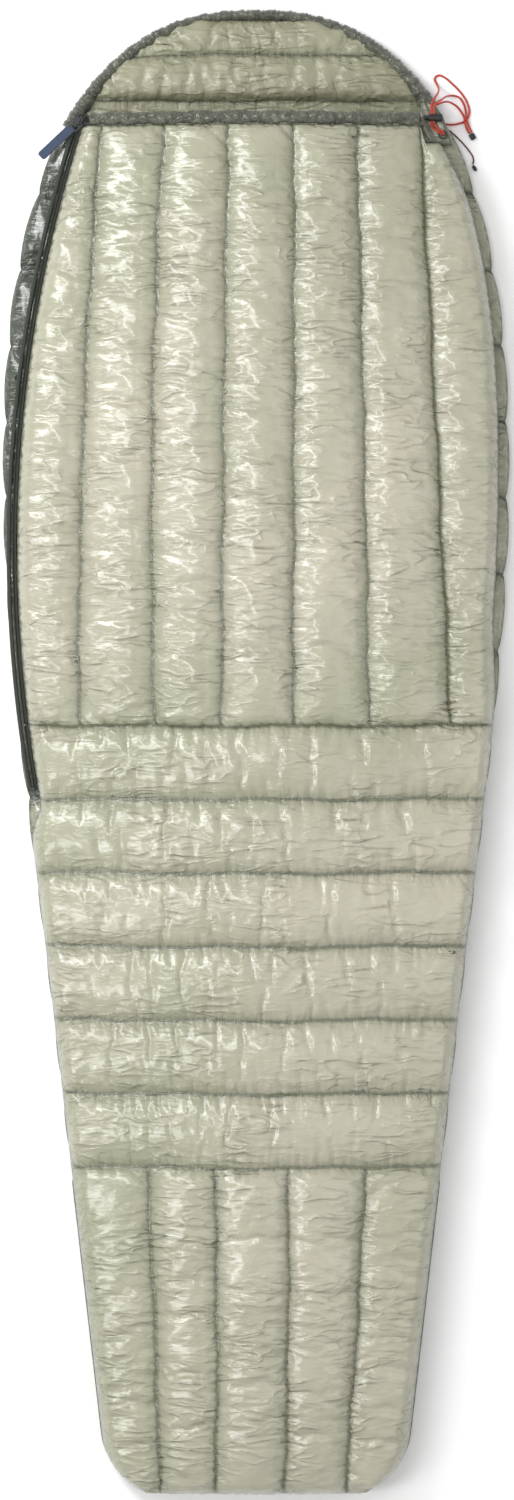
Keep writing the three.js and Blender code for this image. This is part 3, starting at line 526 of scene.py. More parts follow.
def top_grid():
    """The flat cut of the top: where each point of its grid is, which are sewn, and which seams cross."""
    ys = panel_rows((CHEST_END_Y, LEG_TOP_Y, CHEST_ROWS), (LEG_TOP_Y, LEG_LOW_Y, LEG_CHAMBERS * LEG_ROWS),
                    (LEG_LOW_Y, FOOT_Y + SIDE_INSET, FOOT_ROWS))
    columns = np.arange(TOP_COLUMNS)
    chest_columns = np.arange(CHEST_CHAMBERS + 1) * CHEST_COLUMNS
    rows = []
    for y in ys:
        left, right = float(top_left(y)), float(top_half(y))
        chest_here = max(y, LEG_TOP_Y)
        chest = seam_x(CHEST_SEAMS, chest_here, NECK_Y, LEG_TOP_Y, SHOULDER_HALF)
        chest = chest + seam_wander(y, np.arange(6) * 1.7)
        chest_edges = (float(top_left(chest_here)), float(top_half(chest_here)))
        chest = [chest_edges[0], *chest, chest_edges[1]]
        chest_share = (np.interp(columns, chest_columns, chest) - chest[0]) / (chest[-1] - chest[0])
        foot_here = min(y, LEG_LOW_Y)
        foot = seam_x(FOOT_SEAMS, foot_here, LEG_LOW_Y, FOOT_Y, FOOT_HALF)
        foot = foot + seam_wander(y, np.arange(4) * 2.3)
        foot_edges = (float(top_left(foot_here)), float(top_half(foot_here)))
        foot = np.clip(foot, foot_edges[0] * 0.97, foot_edges[1] * 0.97)
        foot = [foot_edges[0], *foot, foot_edges[1]]
        foot_share = (np.interp(columns, FOOT_SEAM_COLUMNS, foot) - foot[0]) / (foot[-1] - foot[0])
        blend = float(smoothstep(LEG_TOP_Y - y, 0.0, LEG_TOP_Y - LEG_LOW_Y))
        share = chest_share * (1 - blend) + foot_share * blend
        rows.append(left + (right - left) * share)
    x = np.array(rows)
    y = np.repeat(ys[:, None], TOP_COLUMNS, axis=1)
    legs = np.arange(LEG_CHAMBERS + 1) * LEG_ROWS + CHEST_ROWS
    wander = np.zeros_like(y)
    for k, row in enumerate(legs):
        reach = np.exp(-((np.arange(len(ys)) - row) / 6.0) ** 2)[:, None]
        line = seam_wander(x[row], 0.9 * k) - 0.0015 * (1 - (x[row] / 0.3) ** 2)
        wander += reach * line[None, :]
    y = y + wander
    corner = smoothstep(np.arange(TOP_COLUMNS), 6 * CHEST_COLUMNS, 6 * CHEST_COLUMNS + 5) * CORNER_DROP
    near_mouth = smoothstep(ys, 0.70, CHEST_END_Y)
    y = y - near_mouth[:, None] * corner[None, :]
    sewn = border(x.shape)
    sewn[:CHEST_ROWS, ::CHEST_COLUMNS] = True
    sewn[legs, :] = True
    sewn[legs[-1]:, list(FOOT_SEAM_COLUMNS)] = True
    across = np.zeros(x.shape)
    across[legs[0]:legs[-1] + 1, :] = 1
    return x, y, sewn, across


def make_top():
    """The top: the flap of six chest chambers, and the rest with the seventh, the legs and the foot."""
    x, y, sewn, across = top_grid()
    dx, dy, dz, near = inflate("top_cloth", x, y, sewn, 0.020, seed=4)
    dz = dz - creases(x, y, near, 2.0)
    px, py = x + dx, y + dy
    base = top_height(np.clip(px, top_left(py), top_half(py)), np.clip(py, FOOT_Y + 0.0031, None))
    upper = np.stack([px, py, base + SEAM_HALF + dz], axis=2)
    lower = np.stack([px, py, np.maximum(base - SEAM_HALF - 0.8 * dz, 0.0312)], axis=2)
    grids = (upper, lower, near)
    seam = 6 * CHEST_COLUMNS
    chest = slice(0, CHEST_ROWS + 1)
    flap = quilt_piece("chest_flap", grids, across, chest, slice(0, seam + 1))
    side = quilt_piece("chest_side", grids, across, chest, slice(seam, None))
    rest = quilt_piece("legs_and_foot", grids, across, slice(CHEST_ROWS, None))
    return flap, side, rest, upper


BACK_COLUMNS = 97
BACK_ROWS = 14
BACK_CHEST = 8
BACK_FOOT_ROWS = 60
BACK_FOOT_SEAMS = (0, 20, 39, 58, 77, 96)


def back_grid():
    ys = panel_rows((NECK_Y, LEG_TOP_Y, BACK_CHEST * BACK_ROWS),
                    (LEG_TOP_Y, LEG_LOW_Y, LEG_CHAMBERS * BACK_ROWS), (LEG_LOW_Y, FOOT_Y, BACK_FOOT_ROWS))
    seams = np.arange(BACK_CHEST + LEG_CHAMBERS + 1) * BACK_ROWS
    to_seam = np.abs(np.arange(len(ys))[:, None] - seams[None, :]).min(axis=1)
    notch = 0.005 * (1 - np.sin(np.clip(to_seam / BACK_ROWS * 2, 0, 1) * math.pi / 2) ** 0.6)
    notch[seams[-1] + 4:] = 0
    x, y = even_grid(ys, half_width(ys) - notch - 0.0005, BACK_COLUMNS)
    y = wander_rows(x, y, seams[1:], 5.0, 1.3)
    sewn = border(x.shape)
    sewn[seams, :] = True
    sewn[seams[-1]:, list(BACK_FOOT_SEAMS)] = True
    across = np.zeros(x.shape)
    across[:seams[-1] + 1] = 1
    return x, y, sewn, across


def make_back():
    x, y, sewn, across = back_grid()
    dx, dy, dz, near = inflate("back_cloth", x, y, sewn, 0.014, seed=9)
    dz = dz - 0.7 * creases(x, y, near, 11.0)
    dx = np.where(np.abs(x + dx) > half_width(y), 0, dx)
    px, py = x + dx, y + dy
    middle = BACK_LOFT / 2
    floor = 0.0002 + 0.0006 * (1 - np.clip(dz / 0.014, 0, 1))
    upper = np.stack([px, py, np.minimum(middle + SEAM_HALF + dz, 0.0302)], axis=2)
    lower = np.stack([px, py, np.maximum(middle - SEAM_HALF - 1.15 * dz, floor)], axis=2)
    return quilt_piece("back_quilt", (upper, lower, near), across)


HOOD_COLUMNS = 91
HOOD_TOP_Y = 0.984
HOOD_LINE_Y = 0.934
HOOD_BAND_ROWS = 6
HOOD_LOWER_ROWS = 15
HOOD_UPPER_ROWS = 12
RIM_INSET = 0.009
RIM_REACH = HEAD_Y - SHOULDER_Y - RIM_INSET
RIM_POWER = 2 / HOOD_ROUNDNESS


def inset_half(y):
    """Half the distance between the two sides of the rim's middle line."""
    share = np.clip((np.asarray(y) - SHOULDER_Y) / RIM_REACH, 0, 1)
    return (SHOULDER_HALF - RIM_INSET) * (1 - share ** HOOD_ROUNDNESS) ** (1 / HOOD_ROUNDNESS)


def hood_grid():
    ys = panel_rows((NECK_Y + 0.0006, HOOD_SEAM_Y, HOOD_BAND_ROWS),
                    (HOOD_SEAM_Y, HOOD_LINE_Y, HOOD_LOWER_ROWS), (HOOD_LINE_Y, HOOD_TOP_Y, HOOD_UPPER_ROWS))
    width = inset_half(ys)
    x, y = even_grid(ys, width, HOOD_COLUMNS)
    seams = (HOOD_BAND_ROWS, HOOD_BAND_ROWS + HOOD_LOWER_ROWS)
    bow = 0.004 * (1 - (x / width[:, None]) ** 2) * smoothstep(y, HOOD_SEAM_Y, HOOD_LINE_Y)
    y = y + bow * smoothstep(-y, -HOOD_TOP_Y, -HOOD_LINE_Y)
    y = wander_rows(x, y, seams, 4.0, 2.9, 0.7)
    sewn = border(x.shape)
    sewn[list(seams), :] = True
    return x[::-1], y[::-1], sewn[::-1], np.ones(x.shape)


def make_hood():
    x, y, sewn, across = hood_grid()
    dx, dy, dz, near = inflate("hood_cloth", x, y, sewn, 0.014, seed=21)
    dx[:, :2] = dx[:, -2:] = 0
    band = smoothstep(y, HOOD_SEAM_Y - 0.006, HOOD_SEAM_Y + 0.010)
    dz = (dz - 0.8 * creases(x, y, near, 19.0)) * (0.35 + 0.65 * band)
    middle = 0.0105 + 0.0045 * band
    px, py = x + dx, np.minimum(y + dy, 0.986)
    floor = 0.0002 + 0.0006 * (1 - np.clip(dz / 0.014, 0, 1))
    upper = np.stack([px, py, middle + SEAM_HALF + dz], axis=2)
    lower = np.stack([px, py, np.maximum(middle - SEAM_HALF - 1.1 * dz, floor)], axis=2)
    return quilt_piece("hood_quilt", (upper, lower, near), across)


chest_flap, chest_side, legs_and_foot, top_surface = make_top()
back_quilt = make_back()
hood_quilt = make_hood()


# ---------- gathered channels, gusset, draft tube ----------

def gathers(run, angle, pitch, depth, seed):
    """Creases of a channel that its elastic has drawn up: uneven ribs across it."""
    random = np.random.default_rng(seed)
    total = np.zeros_like(run)
    for k in range(7):
        wave = pitch * random.uniform(0.65, 1.8)
        twist = random.integers(-2, 3)
        phase = random.uniform(0, 2 * math.pi)
        drift = 0.6 * np.sin(run * random.uniform(6, 18) + k)
        total += np.sin(run * 2 * math.pi / wave + twist * angle + phase + drift)
    return depth * np.tanh(total / 2.2)


def make_rim():
    """The hood's edge: a gathered channel, drawn up by the elastic in it, run out down both sides."""
    ends = [math.acos(((y - SHOULDER_Y) / RIM_REACH) ** (1 / RIM_POWER)) for y in (0.838, 0.866)]
    turns = np.linspace(-ends[0], ends[1], 64)
    sides = np.sin(turns)
    arch = np.stack([
        (SHOULDER_HALF - RIM_INSET) * np.sign(sides) * np.abs(sides) ** RIM_POWER,
        SHOULDER_Y + RIM_REACH * np.cos(turns) ** RIM_POWER,
        np.full(len(turns), 0.013),
    ], axis=1)
    path = smooth_path(arch, 0.0018)

    def outline(run, angle):
        fold = gathers(run, angle, 0.0075, 0.0009, 5) + gathers(run, angle, 0.021, 0.0008, 8)
        share = run / run.max()
        low = np.abs(2 * share - 1) ** 3
        out = 0.0068 + 0.0045 * low
        return (out + fold) * np.cos(angle), (0.0098 + 0.002 * low + fold) * np.sin(angle)

    return tube("hood_rim_channel", path, 26, outline)


def make_hem():
    """The mouth's edge: a gathered channel across the flap."""
    y = NECK_Y - 0.008
    left = float(top_left(y)) + 0.010
    right = float(seam_x(CHEST_SEAMS, y, NECK_Y, LEG_TOP_Y, SHOULDER_HALF)[5]) - 0.0008
    xs = np.linspace(left, right, 24)
    points = np.stack([xs, np.full(24, y), top_height(xs, np.full(24, y))], axis=1)
    path = smooth_path(points, 0.0017)

    def outline(run, angle):
        fold = gathers(run, angle, 0.008, 0.0009, 13) + gathers(run, angle, 0.034, 0.0012, 17)
        return (0.0084 + fold) * np.cos(angle), (0.0058 + fold) * np.sin(angle)

    return tube("hem_channel_cloth", path, 22, outline)


def make_draft_tube():
    """Soft tube of lining behind the zip."""
    ys = np.linspace(0.036, 0.794, 30)
    inset = 0.0255
    shift = (ZIP_RADIUS - inset) / ZIP_RADIUS
    xs = ZIP_CENTRE[0] + (zip_x(ys) - ZIP_CENTRE[0]) * shift
    along = ZIP_CENTRE[1] + (ys - ZIP_CENTRE[1]) * shift
    points = np.stack([xs, along, np.full(30, 0.0328)], axis=1)
    path = smooth_path(points, 0.005)

    def outline(run, angle):
        fold = gathers(run, angle, 0.03, 0.0003, 3)
        return (0.0088 + fold) * np.cos(angle), (0.0019 + fold * 0.5) * np.sin(angle)

    return tube("draft_tube_cloth", path, 14, outline)


def make_gusset():
    """Unfilled corner of shell between the mouth, the hood and the side."""
    low = CHEST_END_Y - CORNER_DROP + 0.0008
    seam = [float(seam_x(CHEST_SEAMS, y, NECK_Y, LEG_TOP_Y, SHOULDER_HALF)[5]) for y in (low, NECK_Y)]
    corners = (
        (seam[0] + 0.0008, low),
        (float(top_half(low)) + 0.006, low),
        (float(half_width(NECK_Y)) - 0.003, NECK_Y),
        (float(half_width(HOOD_SEAM_Y)) - 0.003, HOOD_SEAM_Y - 0.004),
        (float(half_width(HOOD_SEAM_Y)) - 0.018, HOOD_SEAM_Y - 0.004),
        (seam[1] + 0.0008, NECK_Y),
    )
    count = 30
    rows = []
    for v in np.linspace(0, 1, count):
        y = low + (HOOD_SEAM_Y - 0.004 - low) * v
        left = np.interp(y, [corners[0][1], corners[5][1], corners[4][1]],
                         [corners[0][0], corners[5][0], corners[4][0]])
        right = np.interp(y, [corners[1][1], corners[2][1], corners[3][1]],
                          [corners[1][0], corners[2][0], corners[3][0]])
        rows.append([(left + (right - left) * u, y) for u in np.linspace(0, 1, count)])
    plan = np.array(rows)
    u, v = np.meshgrid(np.linspace(0, 1, count), np.linspace(0, 1, count))
    to_edge = np.minimum(np.minimum(u, 1 - u), np.minimum(v, 1 - v))
    bulge = np.clip(to_edge * 5, 0, 1)
    bulge = np.sqrt(1 - (1 - bulge) ** 2)
    fold = 0.0005 * np.sin(u * 19 + v * 9) * bulge
    upper = np.dstack([plan, 0.0352 + 0.0035 * bulge + fold])
    lower = np.dstack([plan, 0.0352 - 0.0036 * bulge])
    return quilt_piece("gusset_cloth", (upper, lower, to_edge * 0.04), np.zeros_like(u))


hood_rim = make_rim()
hem_channel = make_hem()
draft_tube = make_draft_tube()
gusset = make_gusset()


# ---------- geometry nodes: what repeats along a line ----------

NODE_KINDS = {
    "source": "NodeGroupInput", "curve": "GeometryNodeMeshToCurve", "points": "GeometryNodeCurveToPoints",
    "ball": "GeometryNodeMeshUVSphere", "size": "ShaderNodeCombineXYZ", "shape": "GeometryNodeTransform",
    "place": "GeometryNodeInstanceOnPoints", "real": "GeometryNodeRealizeInstances",
    "smooth": "GeometryNodeSetShadeSmooth", "finish": "GeometryNodeSetMaterial",
    "result": "NodeGroupOutput",
}
NODE_LINKS = (
    ("source", "Line", "curve", "Mesh"), ("curve", "Curve", "points", "Curve"),
    ("source", "Step", "points", "Length"), ("source", "Width", "size", "X"),
    ("source", "Height", "size", "Y"), ("source", "Length", "size", "Z"),
    ("ball", "Mesh", "shape", "Geometry"), ("size", "Vector", "shape", "Scale"),
    ("points", "Points", "place", "Points"), ("points", "Rotation", "place", "Rotation"),
    ("shape", "Geometry", "place", "Instance"), ("place", "Instances", "real", "Geometry"),
    ("real", "Geometry", "smooth", "Geometry"), ("smooth", "Geometry", "finish", "Geometry"),
    ("source", "Finish", "finish", "Material"), ("finish", "Geometry", "result", "Pieces"),
)


def repeat_tree(name, segments, rings):
    """A node tree that sets a small round ended bar at even steps along a line, turned to follow it."""
    tree = bpy.data.node_groups.new(name, "GeometryNodeTree")
    inputs = {}
    for label, kind in (("Line", "Geometry"), ("Step", "Float"), ("Length", "Float"), ("Width", "Float"),
                        ("Height", "Float"), ("Finish", "Material")):
        item = tree.interface.new_socket(label, in_out="INPUT", socket_type="NodeSocket" + kind)
        inputs[label] = item.identifier
    tree.interface.new_socket("Pieces", in_out="OUTPUT", socket_type="NodeSocketGeometry")
    nodes = {label: tree.nodes.new(kind) for label, kind in NODE_KINDS.items()}
    nodes["points"].mode = "LENGTH"
    for label, value in (("Segments", segments), ("Rings", rings), ("Radius", 0.5)):
        nodes["ball"].inputs[label].default_value = value
    for first, output, second, socket in NODE_LINKS:
        tree.links.new(nodes[first].outputs[output], nodes[second].inputs[socket])
    return tree, inputs


def repeat_along(name, tree, lines, step, length, width, height, material):
    """Runs a repeating tree along several lines and gives one plain mesh."""
    group, identifiers = tree
    vertices = np.vstack(lines)
    edges, first = [], 0
    for line in lines:
        edges += [(first + k, first + k + 1) for k in range(len(line) - 1)]
        first += len(line)
    mesh = bpy.data.meshes.new(name + "_lines")
    mesh.from_pydata([tuple(v) for v in vertices], edges, [])
    holder = link(name + "_lines", mesh)
    modifier = holder.modifiers.new("repeat", "NODES")
    modifier.node_group = group
    sizes = {"Step": step, "Length": length, "Width": width, "Height": height, "Finish": material}
    for label, value in sizes.items():
        modifier[identifiers[label]] = value
    graph = bpy.context.evaluated_depsgraph_get()
    result = bpy.data.meshes.new_from_object(holder.evaluated_get(graph))
    bpy.data.objects.remove(holder, do_unlink=True)
    result.name = name
    return link(name, result)


# ---------- materials ----------

class Value:
    """A number that varies over a surface, for use in plain sums and products."""

    def __init__(self, finish, socket):
        self.finish = finish
        self.socket = socket

    def _math(self, operation, first, second):
        return self.finish.node("ShaderNodeMath", {"operation": operation}, {0: first, 1: second})

    def __add__(self, other):
        return self._math("ADD", self, other)

    __radd__ = __add__

    def __mul__(self, other):
        return self._math("MULTIPLY", self, other)

    __rmul__ = __mul__

    def __sub__(self, other):
        return self._math("SUBTRACT", self, other)

    def __rsub__(self, other):
        return self._math("SUBTRACT", other, self)

    def __pow__(self, other):
        return self._math("POWER", self, other)

    def sine(self):
        return self._math("SINE", self, 0.0)

    def clamp(self):
        return self._math("MINIMUM", self._math("MAXIMUM", self, 0.0), 1.0)


class Finish:
    """A procedural material around one Principled shader."""

    def __init__(self, name, **settings):
        self.material = bpy.data.materials.new(name)
        self.material.use_nodes = True
        self.tree = self.material.node_tree
        self.shader = self.tree.nodes["Principled BSDF"]
        for label, value in settings.items():
            self.shader.inputs[label.replace("_", " ")].default_value = value

    def node(self, kind, settings=None, sockets=None, output=0):
        node = self.tree.nodes.new(kind)
        for label, value in (settings or {}).items():
            setattr(node, label, value)
        for label, value in (sockets or {}).items():
            if isinstance(value, Value):
                self.tree.links.new(value.socket, node.inputs[label])
            else:
                node.inputs[label].default_value = value
        return Value(self, node.outputs[output])

    def place(self, scale=(1, 1, 1), turn=0.0):
        """Object coordinates, stretched and turned about Z."""
        source = self.node("ShaderNodeTexCoord", output="Object")
        return self.node("ShaderNodeMapping", None,
                         {"Vector": source, "Rotation": (0, 0, turn), "Scale": scale})

    def split(self, vector):
        """The first two parts of a vector."""
        first = self.node("ShaderNodeSeparateXYZ", None, {0: vector})
        return first, Value(self, first.socket.node.outputs[1])

    def attribute(self, name):
        return self.node("ShaderNodeAttribute", {"attribute_name": name}, output="Fac")

    def noise(self, place, scale, detail=3.0, distortion=0.0, roughness=0.55):
        return self.node("ShaderNodeTexNoise", None, {
            "Vector": place, "Scale": scale, "Detail": detail,
            "Distortion": distortion, "Roughness": roughness,
        })

    def ridge(self, noise, power=1.0):
        """Sharp creases where a noise crosses its middle."""
        fold = self.node("ShaderNodeMath", {"operation": "ABSOLUTE"}, {0: (noise - 0.5) * 2.0})
        return (1.0 - fold) ** power

    def mix(self, share, first, second):
        node = self.tree.nodes.new("ShaderNodeMix")
        node.data_type = "RGBA"
        for index, value in ((0, share), (6, first), (7, second)):
            if isinstance(value, Value):
                self.tree.links.new(value.socket, node.inputs[index])
            else:
                node.inputs[index].default_value = value
        return Value(self, node.outputs[2])

    def set(self, label, value):
        self.tree.links.new(value.socket, self.shader.inputs[label])

    def bump(self, layers):
        """Stacks (height, strength, depth in metres) layers on the surface's normal."""
        normal = None
        for height, strength, distance in layers:
            sockets = {"Height": height, "Strength": strength, "Distance": distance}
            if normal is not None:
                sockets["Normal"] = normal
            normal = self.node("ShaderNodeBump", None, sockets)
        self.set("Normal", normal)


def rgb(red, green, blue):
    """A colour from its sRGB values, 0 to 255."""
    def linear(value):
        share = value / 255
        return share / 12.92 if share <= 0.04045 else ((share + 0.055) / 1.055) ** 2.4
    return (linear(red), linear(green), linear(blue), 1.0)


def ripstop(finish):
    """Fine grid of thicker threads in light nylon."""
    lines = [((along * 2600.0).sine() * 0.5 + 0.5) ** 6.0 for along in finish.split(finish.place())]
    return finish.node("ShaderNodeMath", {"operation": "MAXIMUM"}, {0: lines[0], 1: lines[1]})


def nylon(name, light, dark, lining, shade_strip=None, crease=1.0, rough=0.24, coat=0.38):
    """Calendered down proof nylon: glossy, finely creased, puckered along its seams."""
    finish = Finish(name, Coat_Roughness=0.12, IOR=1.5)
    seam_run = finish.attribute("seam_run")
    crossed = finish.attribute("across")
    inside = finish.attribute("inside")
    near = (1.0 - seam_run * 42.0).clamp()
    tight = (1.0 - seam_run * 190.0).clamp()
    slant = finish.noise(finish.place((1.0, 3.0, 1.6), 0.72), 15.0, 1.0, 0.5, 0.4)
    other_slant = finish.noise(finish.place((1.0, 3.2, 1.6), -0.78), 19.0, 1.0, 0.5, 0.4)
    fine = finish.noise(finish.place((1.0, 2.4, 1.2), 0.45), 48.0, 1.0, 0.4, 0.4)
    lengthwise = finish.noise(finish.place((0.16, 1.0, 0.5)), 84.0, 2.0, 0.6)
    crosswise = finish.noise(finish.place((1.0, 0.16, 0.5)), 84.0, 2.0, 0.6)
    pucker = lengthwise * (1.0 - crossed) + crosswise * crossed
    patch = (finish.noise(finish.place(), 13.0, 2.0) * 3.4 - 1.2).clamp()
    broad = (finish.ridge(slant, 5.0) + finish.ridge(other_slant, 5.0)) * patch
    patches = finish.noise(finish.place(), 7.0, 3.0)
    shade = (finish.noise(finish.place(), 2.8, 2.0) * 1.6 + patches * 0.7 - 0.75).clamp()
    colour = finish.mix(shade, dark, light)
    # painted shade: the colour darkens towards the seams, darkest right at them, where the puffed cloth
    # dips into its valleys
    seam_shade = (dark[0] * 0.34, dark[1] * 0.37, dark[2] * 0.33, 1.0)
    colour = finish.mix((tight * 0.72 + near * near * 0.34).clamp(), colour, seam_shade)
    # painted shade: left of the given x and above y = -0.075 the back is painted in a darker strip colour,
    # standing in for shade along the bag's left side
    if shade_strip is not None:
        middle, strip = shade_strip
        across, along = finish.split(finish.place())
        beside = ((middle - across) * 60.0).clamp() * ((along + 0.075) * 60.0).clamp()
        colour = finish.mix(beside, colour, strip)
    colour = finish.mix(inside, colour, lining)
    finish.set("Base Color", colour)
    finish.set("Roughness", (patches * 0.2 + rough - 0.08 + near * 0.05).clamp())
    finish.set("Coat Weight", (coat + patches * 0.3 - near * 0.1).clamp())
    finish.bump([
        (broad, 0.8 * crease, 0.0036),
        (finish.ridge(fine, 4.0), 0.40 * crease, 0.0009),
        (pucker * near, 0.8 * crease, 0.0060),
        (ripstop(finish), 0.05, 0.0002),
    ])
    return finish.material


def gathered_nylon(name, light, dark):
    """Gathered glossy nylon with fine creases."""
    finish = Finish(name, Coat_Roughness=0.14, Sheen_Weight=0.05)
    patches = finish.noise(finish.place(), 60.0, 4.0, 0.8)
    folds = finish.ridge(finish.noise(finish.place((1, 1, 1), 0.4), 120.0, 4.0, 1.5), 2.5)
    finish.set("Base Color", finish.mix((patches * 1.6 - 0.3).clamp(), dark, light))
    finish.set("Roughness", (patches * 0.3 + 0.18).clamp())
    finish.set("Coat Weight", (patches * 0.5 + 0.2).clamp())
    finish.bump([(folds, 0.9, 0.0024), (ripstop(finish), 0.05, 0.0002)])
    return finish.material


def woven(name, colour, other, pitch, rough=0.75, slant=0.0):
    """Plain woven tape or webbing."""
    finish = Finish(name, Sheen_Weight=0.2, Sheen_Roughness=0.5)
    across, along = finish.split(finish.place((1, 1, 1), slant))
    turn = 6.283 / pitch
    weave = (across * turn).sine() * (along * turn).sine() * 0.5 + 0.5
    worn = finish.noise(finish.place(), 90.0, 3.0)
    finish.set("Base Color", finish.mix((weave * 0.55 + worn * 0.5 - 0.1).clamp(), colour, other))
    finish.set("Roughness", (worn * 0.2 + rough - 0.1).clamp())
    finish.bump([(weave, 0.5, pitch * 0.3)])
    return finish.material


def braided(name, colour, other, turns, pitch):
    """Braided cord: two sets of strands that cross round it, on the piece's own run."""
    finish = Finish(name, Sheen_Weight=0.3, Sheen_Roughness=0.4)
    run, around = finish.split(finish.node("ShaderNodeUVMap", {"uv_map": "run"}))
    run, around = run * (6.283 / pitch), around * (6.283 * turns)
    strands = ((run + around).sine() * (run - around).sine() * 0.5 + 0.5).clamp()
    soiled = finish.noise(finish.place(), 160.0, 3.0)
    finish.set("Base Color", finish.mix((strands * 0.8 + soiled * 0.3 - 0.1).clamp(), other, colour))
    finish.set("Roughness", (soiled * 0.2 + 0.5).clamp())
    finish.bump([(strands, 0.7, 0.0004)])
    return finish.material


def moulded(name, colour, rough, metallic=0.0, grain=900.0):
    """Moulded plastic or lacquered casting with a fine grain and slightly rubbed places."""
    finish = Finish(name, Metallic=metallic)
    worn = finish.noise(finish.place(), 220.0, 4.0)
    fine = finish.noise(finish.place(), grain, 2.0)
    lighter = tuple(min(c * 1.9 + 0.015, 1.0) for c in colour[:3]) + (1.0,)
    finish.set("Base Color", finish.mix((worn * 2.2 - 0.9).clamp(), colour, lighter))
    finish.set("Roughness", (worn * 0.25 + rough - 0.1).clamp())
    finish.bump([(fine, 0.25, 0.0001)])
    return finish.material


LINING = rgb(150, 148, 120)
# painted shade: the darker colour painted on the back's strip left of the zip (x below ZIP_SIDE_X)
SHADE_STRIP_COLOUR = rgb(64, 70, 60)
ZIP_SIDE_X = -0.20
top_nylon = nylon("top_nylon", rgb(182, 177, 160), rgb(152, 153, 130), LINING)
back_nylon = nylon("back_nylon", rgb(164, 162, 142), rgb(138, 138, 116), rgb(164, 162, 140),
                   (ZIP_SIDE_X, SHADE_STRIP_COLOUR), 1.3, 0.22, 0.6)
gusset_nylon = nylon("gusset_nylon", rgb(146, 148, 128), rgb(112, 114, 96), rgb(112, 114, 96),
                     None, 1.2, 0.2)
lining_nylon = nylon("lining_nylon", rgb(158, 156, 132), rgb(130, 130, 106), rgb(124, 122, 104), None,
                     1.0, 0.34, 0.15)
trim_nylon = gathered_nylon("trim_nylon", rgb(112, 114, 98), rgb(52, 54, 46))
zip_weave = woven("zip_weave", rgb(42, 46, 38), rgb(60, 64, 54), 0.0009)
zip_coil = moulded("zip_coil", rgb(40, 44, 36), 0.42)
tag_weave = woven("tag_weave", rgb(46, 58, 80), rgb(66, 80, 102), 0.0011, 0.8, 0.5)
tag_edge = woven("tag_edge", rgb(40, 48, 64), rgb(56, 64, 80), 0.0009)
zip_metal = moulded("zip_metal", rgb(52, 54, 56), 0.36, 0.9)
red_braid = braided("red_braid", rgb(214, 74, 46), rgb(150, 34, 24), 4, 0.0022)
dark_braid = braided("dark_braid", rgb(110, 44, 42), rgb(60, 24, 26), 3, 0.0016)
lock_black = moulded("lock_black", rgb(22, 22, 24), 0.44)
spring_wire = moulded("spring_wire", rgb(150, 152, 154), 0.3, 1.0)
shell_thread = woven("shell_thread", rgb(170, 168, 146), rgb(190, 188, 168), 0.0006)

for piece, material in (
    (chest_flap, top_nylon), (chest_side, top_nylon), (legs_and_foot, top_nylon),
    (back_quilt, back_nylon), (gusset, gusset_nylon), (hood_quilt, lining_nylon),
    (draft_tube, lining_nylon), (hood_rim, trim_nylon), (hem_channel, trim_nylon),
    (drawcord_loop, red_braid), (drawcord_upper, red_braid), (drawcord_lower, red_braid),
    (side_cord, dark_braid),
):
    give(piece, material)


# ---------- stitching ----------

STITCH_STEP = 0.0036
STITCH_LENGTH = 0.0026
STITCH_WIDTH = 0.0006
STITCH_RISE = 0.0003

stitch_tree = repeat_tree("stitches", 6, 4)
coil_tree = repeat_tree("coil_turns", 8, 6)


def sew(name, lines, material):
    lifted = [np.asarray(line) + (0, 0, STITCH_RISE) for line in lines]
    return repeat_along(name, stitch_tree, lifted, STITCH_STEP, STITCH_LENGTH,
                        STITCH_WIDTH, STITCH_WIDTH, material)


def top_seam_lines():
    """Seams of the top, as rows of points on its surface: those of the flap and the others."""
    legs = [k * LEG_ROWS + CHEST_ROWS for k in range(LEG_CHAMBERS + 1)]
    inner = slice(2, TOP_COLUMNS - 2)
    flap = [top_surface[3:CHEST_ROWS - 1, k * CHEST_COLUMNS] for k in range(1, 6)]
    others = [top_surface[8:CHEST_ROWS - 1, 6 * CHEST_COLUMNS]]
    others += [top_surface[row, inner] for row in legs]
    others += [top_surface[legs[-1] + 1:-6, column] for column in FOOT_SEAM_COLUMNS[1:-1]]
    return flap, others


flap_seams, other_seams = top_seam_lines()
flap_stitches = sew("flap_stitches", flap_seams, shell_thread)
body_stitches = sew("body_stitches", other_seams, shell_thread)


# ---------- side zip ----------

def arc_points(low, high, inset, z, step=0.004):
    """Points on the zip's circle, moved right by an inset."""
    count = max(int((high - low) / step), 2)
    ys = np.linspace(low, high, count + 1)
    turn = math.pi - np.arcsin((ys - ZIP_CENTRE[1]) / ZIP_RADIUS)
    radius = ZIP_RADIUS - inset
    xs = ZIP_CENTRE[0] + radius * np.cos(turn)
    return np.stack([xs, ZIP_CENTRE[1] + radius * np.sin(turn), np.full(len(ys), z)], axis=1)


TAPE_INNER = 0.00095
TAPE_WIDTH = 0.0056
COIL_WIDTH = 0.0024
COIL_HEIGHT = 0.0026
COIL_PITCH = 0.0020


def make_tape(name, side, low, high):
    """Woven tape beside the zip's line, with a rounded bead that carries the coil."""
    middle = side * (TAPE_INNER + TAPE_WIDTH / 2)
    path = arc_points(low, high, middle, TAPE_Z + 0.0005)

    def outline(run, angle):
        squared = np.abs(np.cos(angle)) ** 0.4 * np.sign(np.cos(angle))
        return squared * TAPE_WIDTH / 2, np.sin(angle) * 0.00045

    return tube(name, path, 12, outline)


def make_coil(name, side, low, high):
    middle = side * (TAPE_INNER + COIL_WIDTH / 2)
    line = arc_points(low + 0.001, high - 0.001, middle, TAPE_Z + 0.0008 + COIL_HEIGHT / 2)
    return repeat_along(name, coil_tree, [line], COIL_PITCH, COIL_PITCH * 0.8,
                        COIL_HEIGHT, COIL_WIDTH, zip_coil)


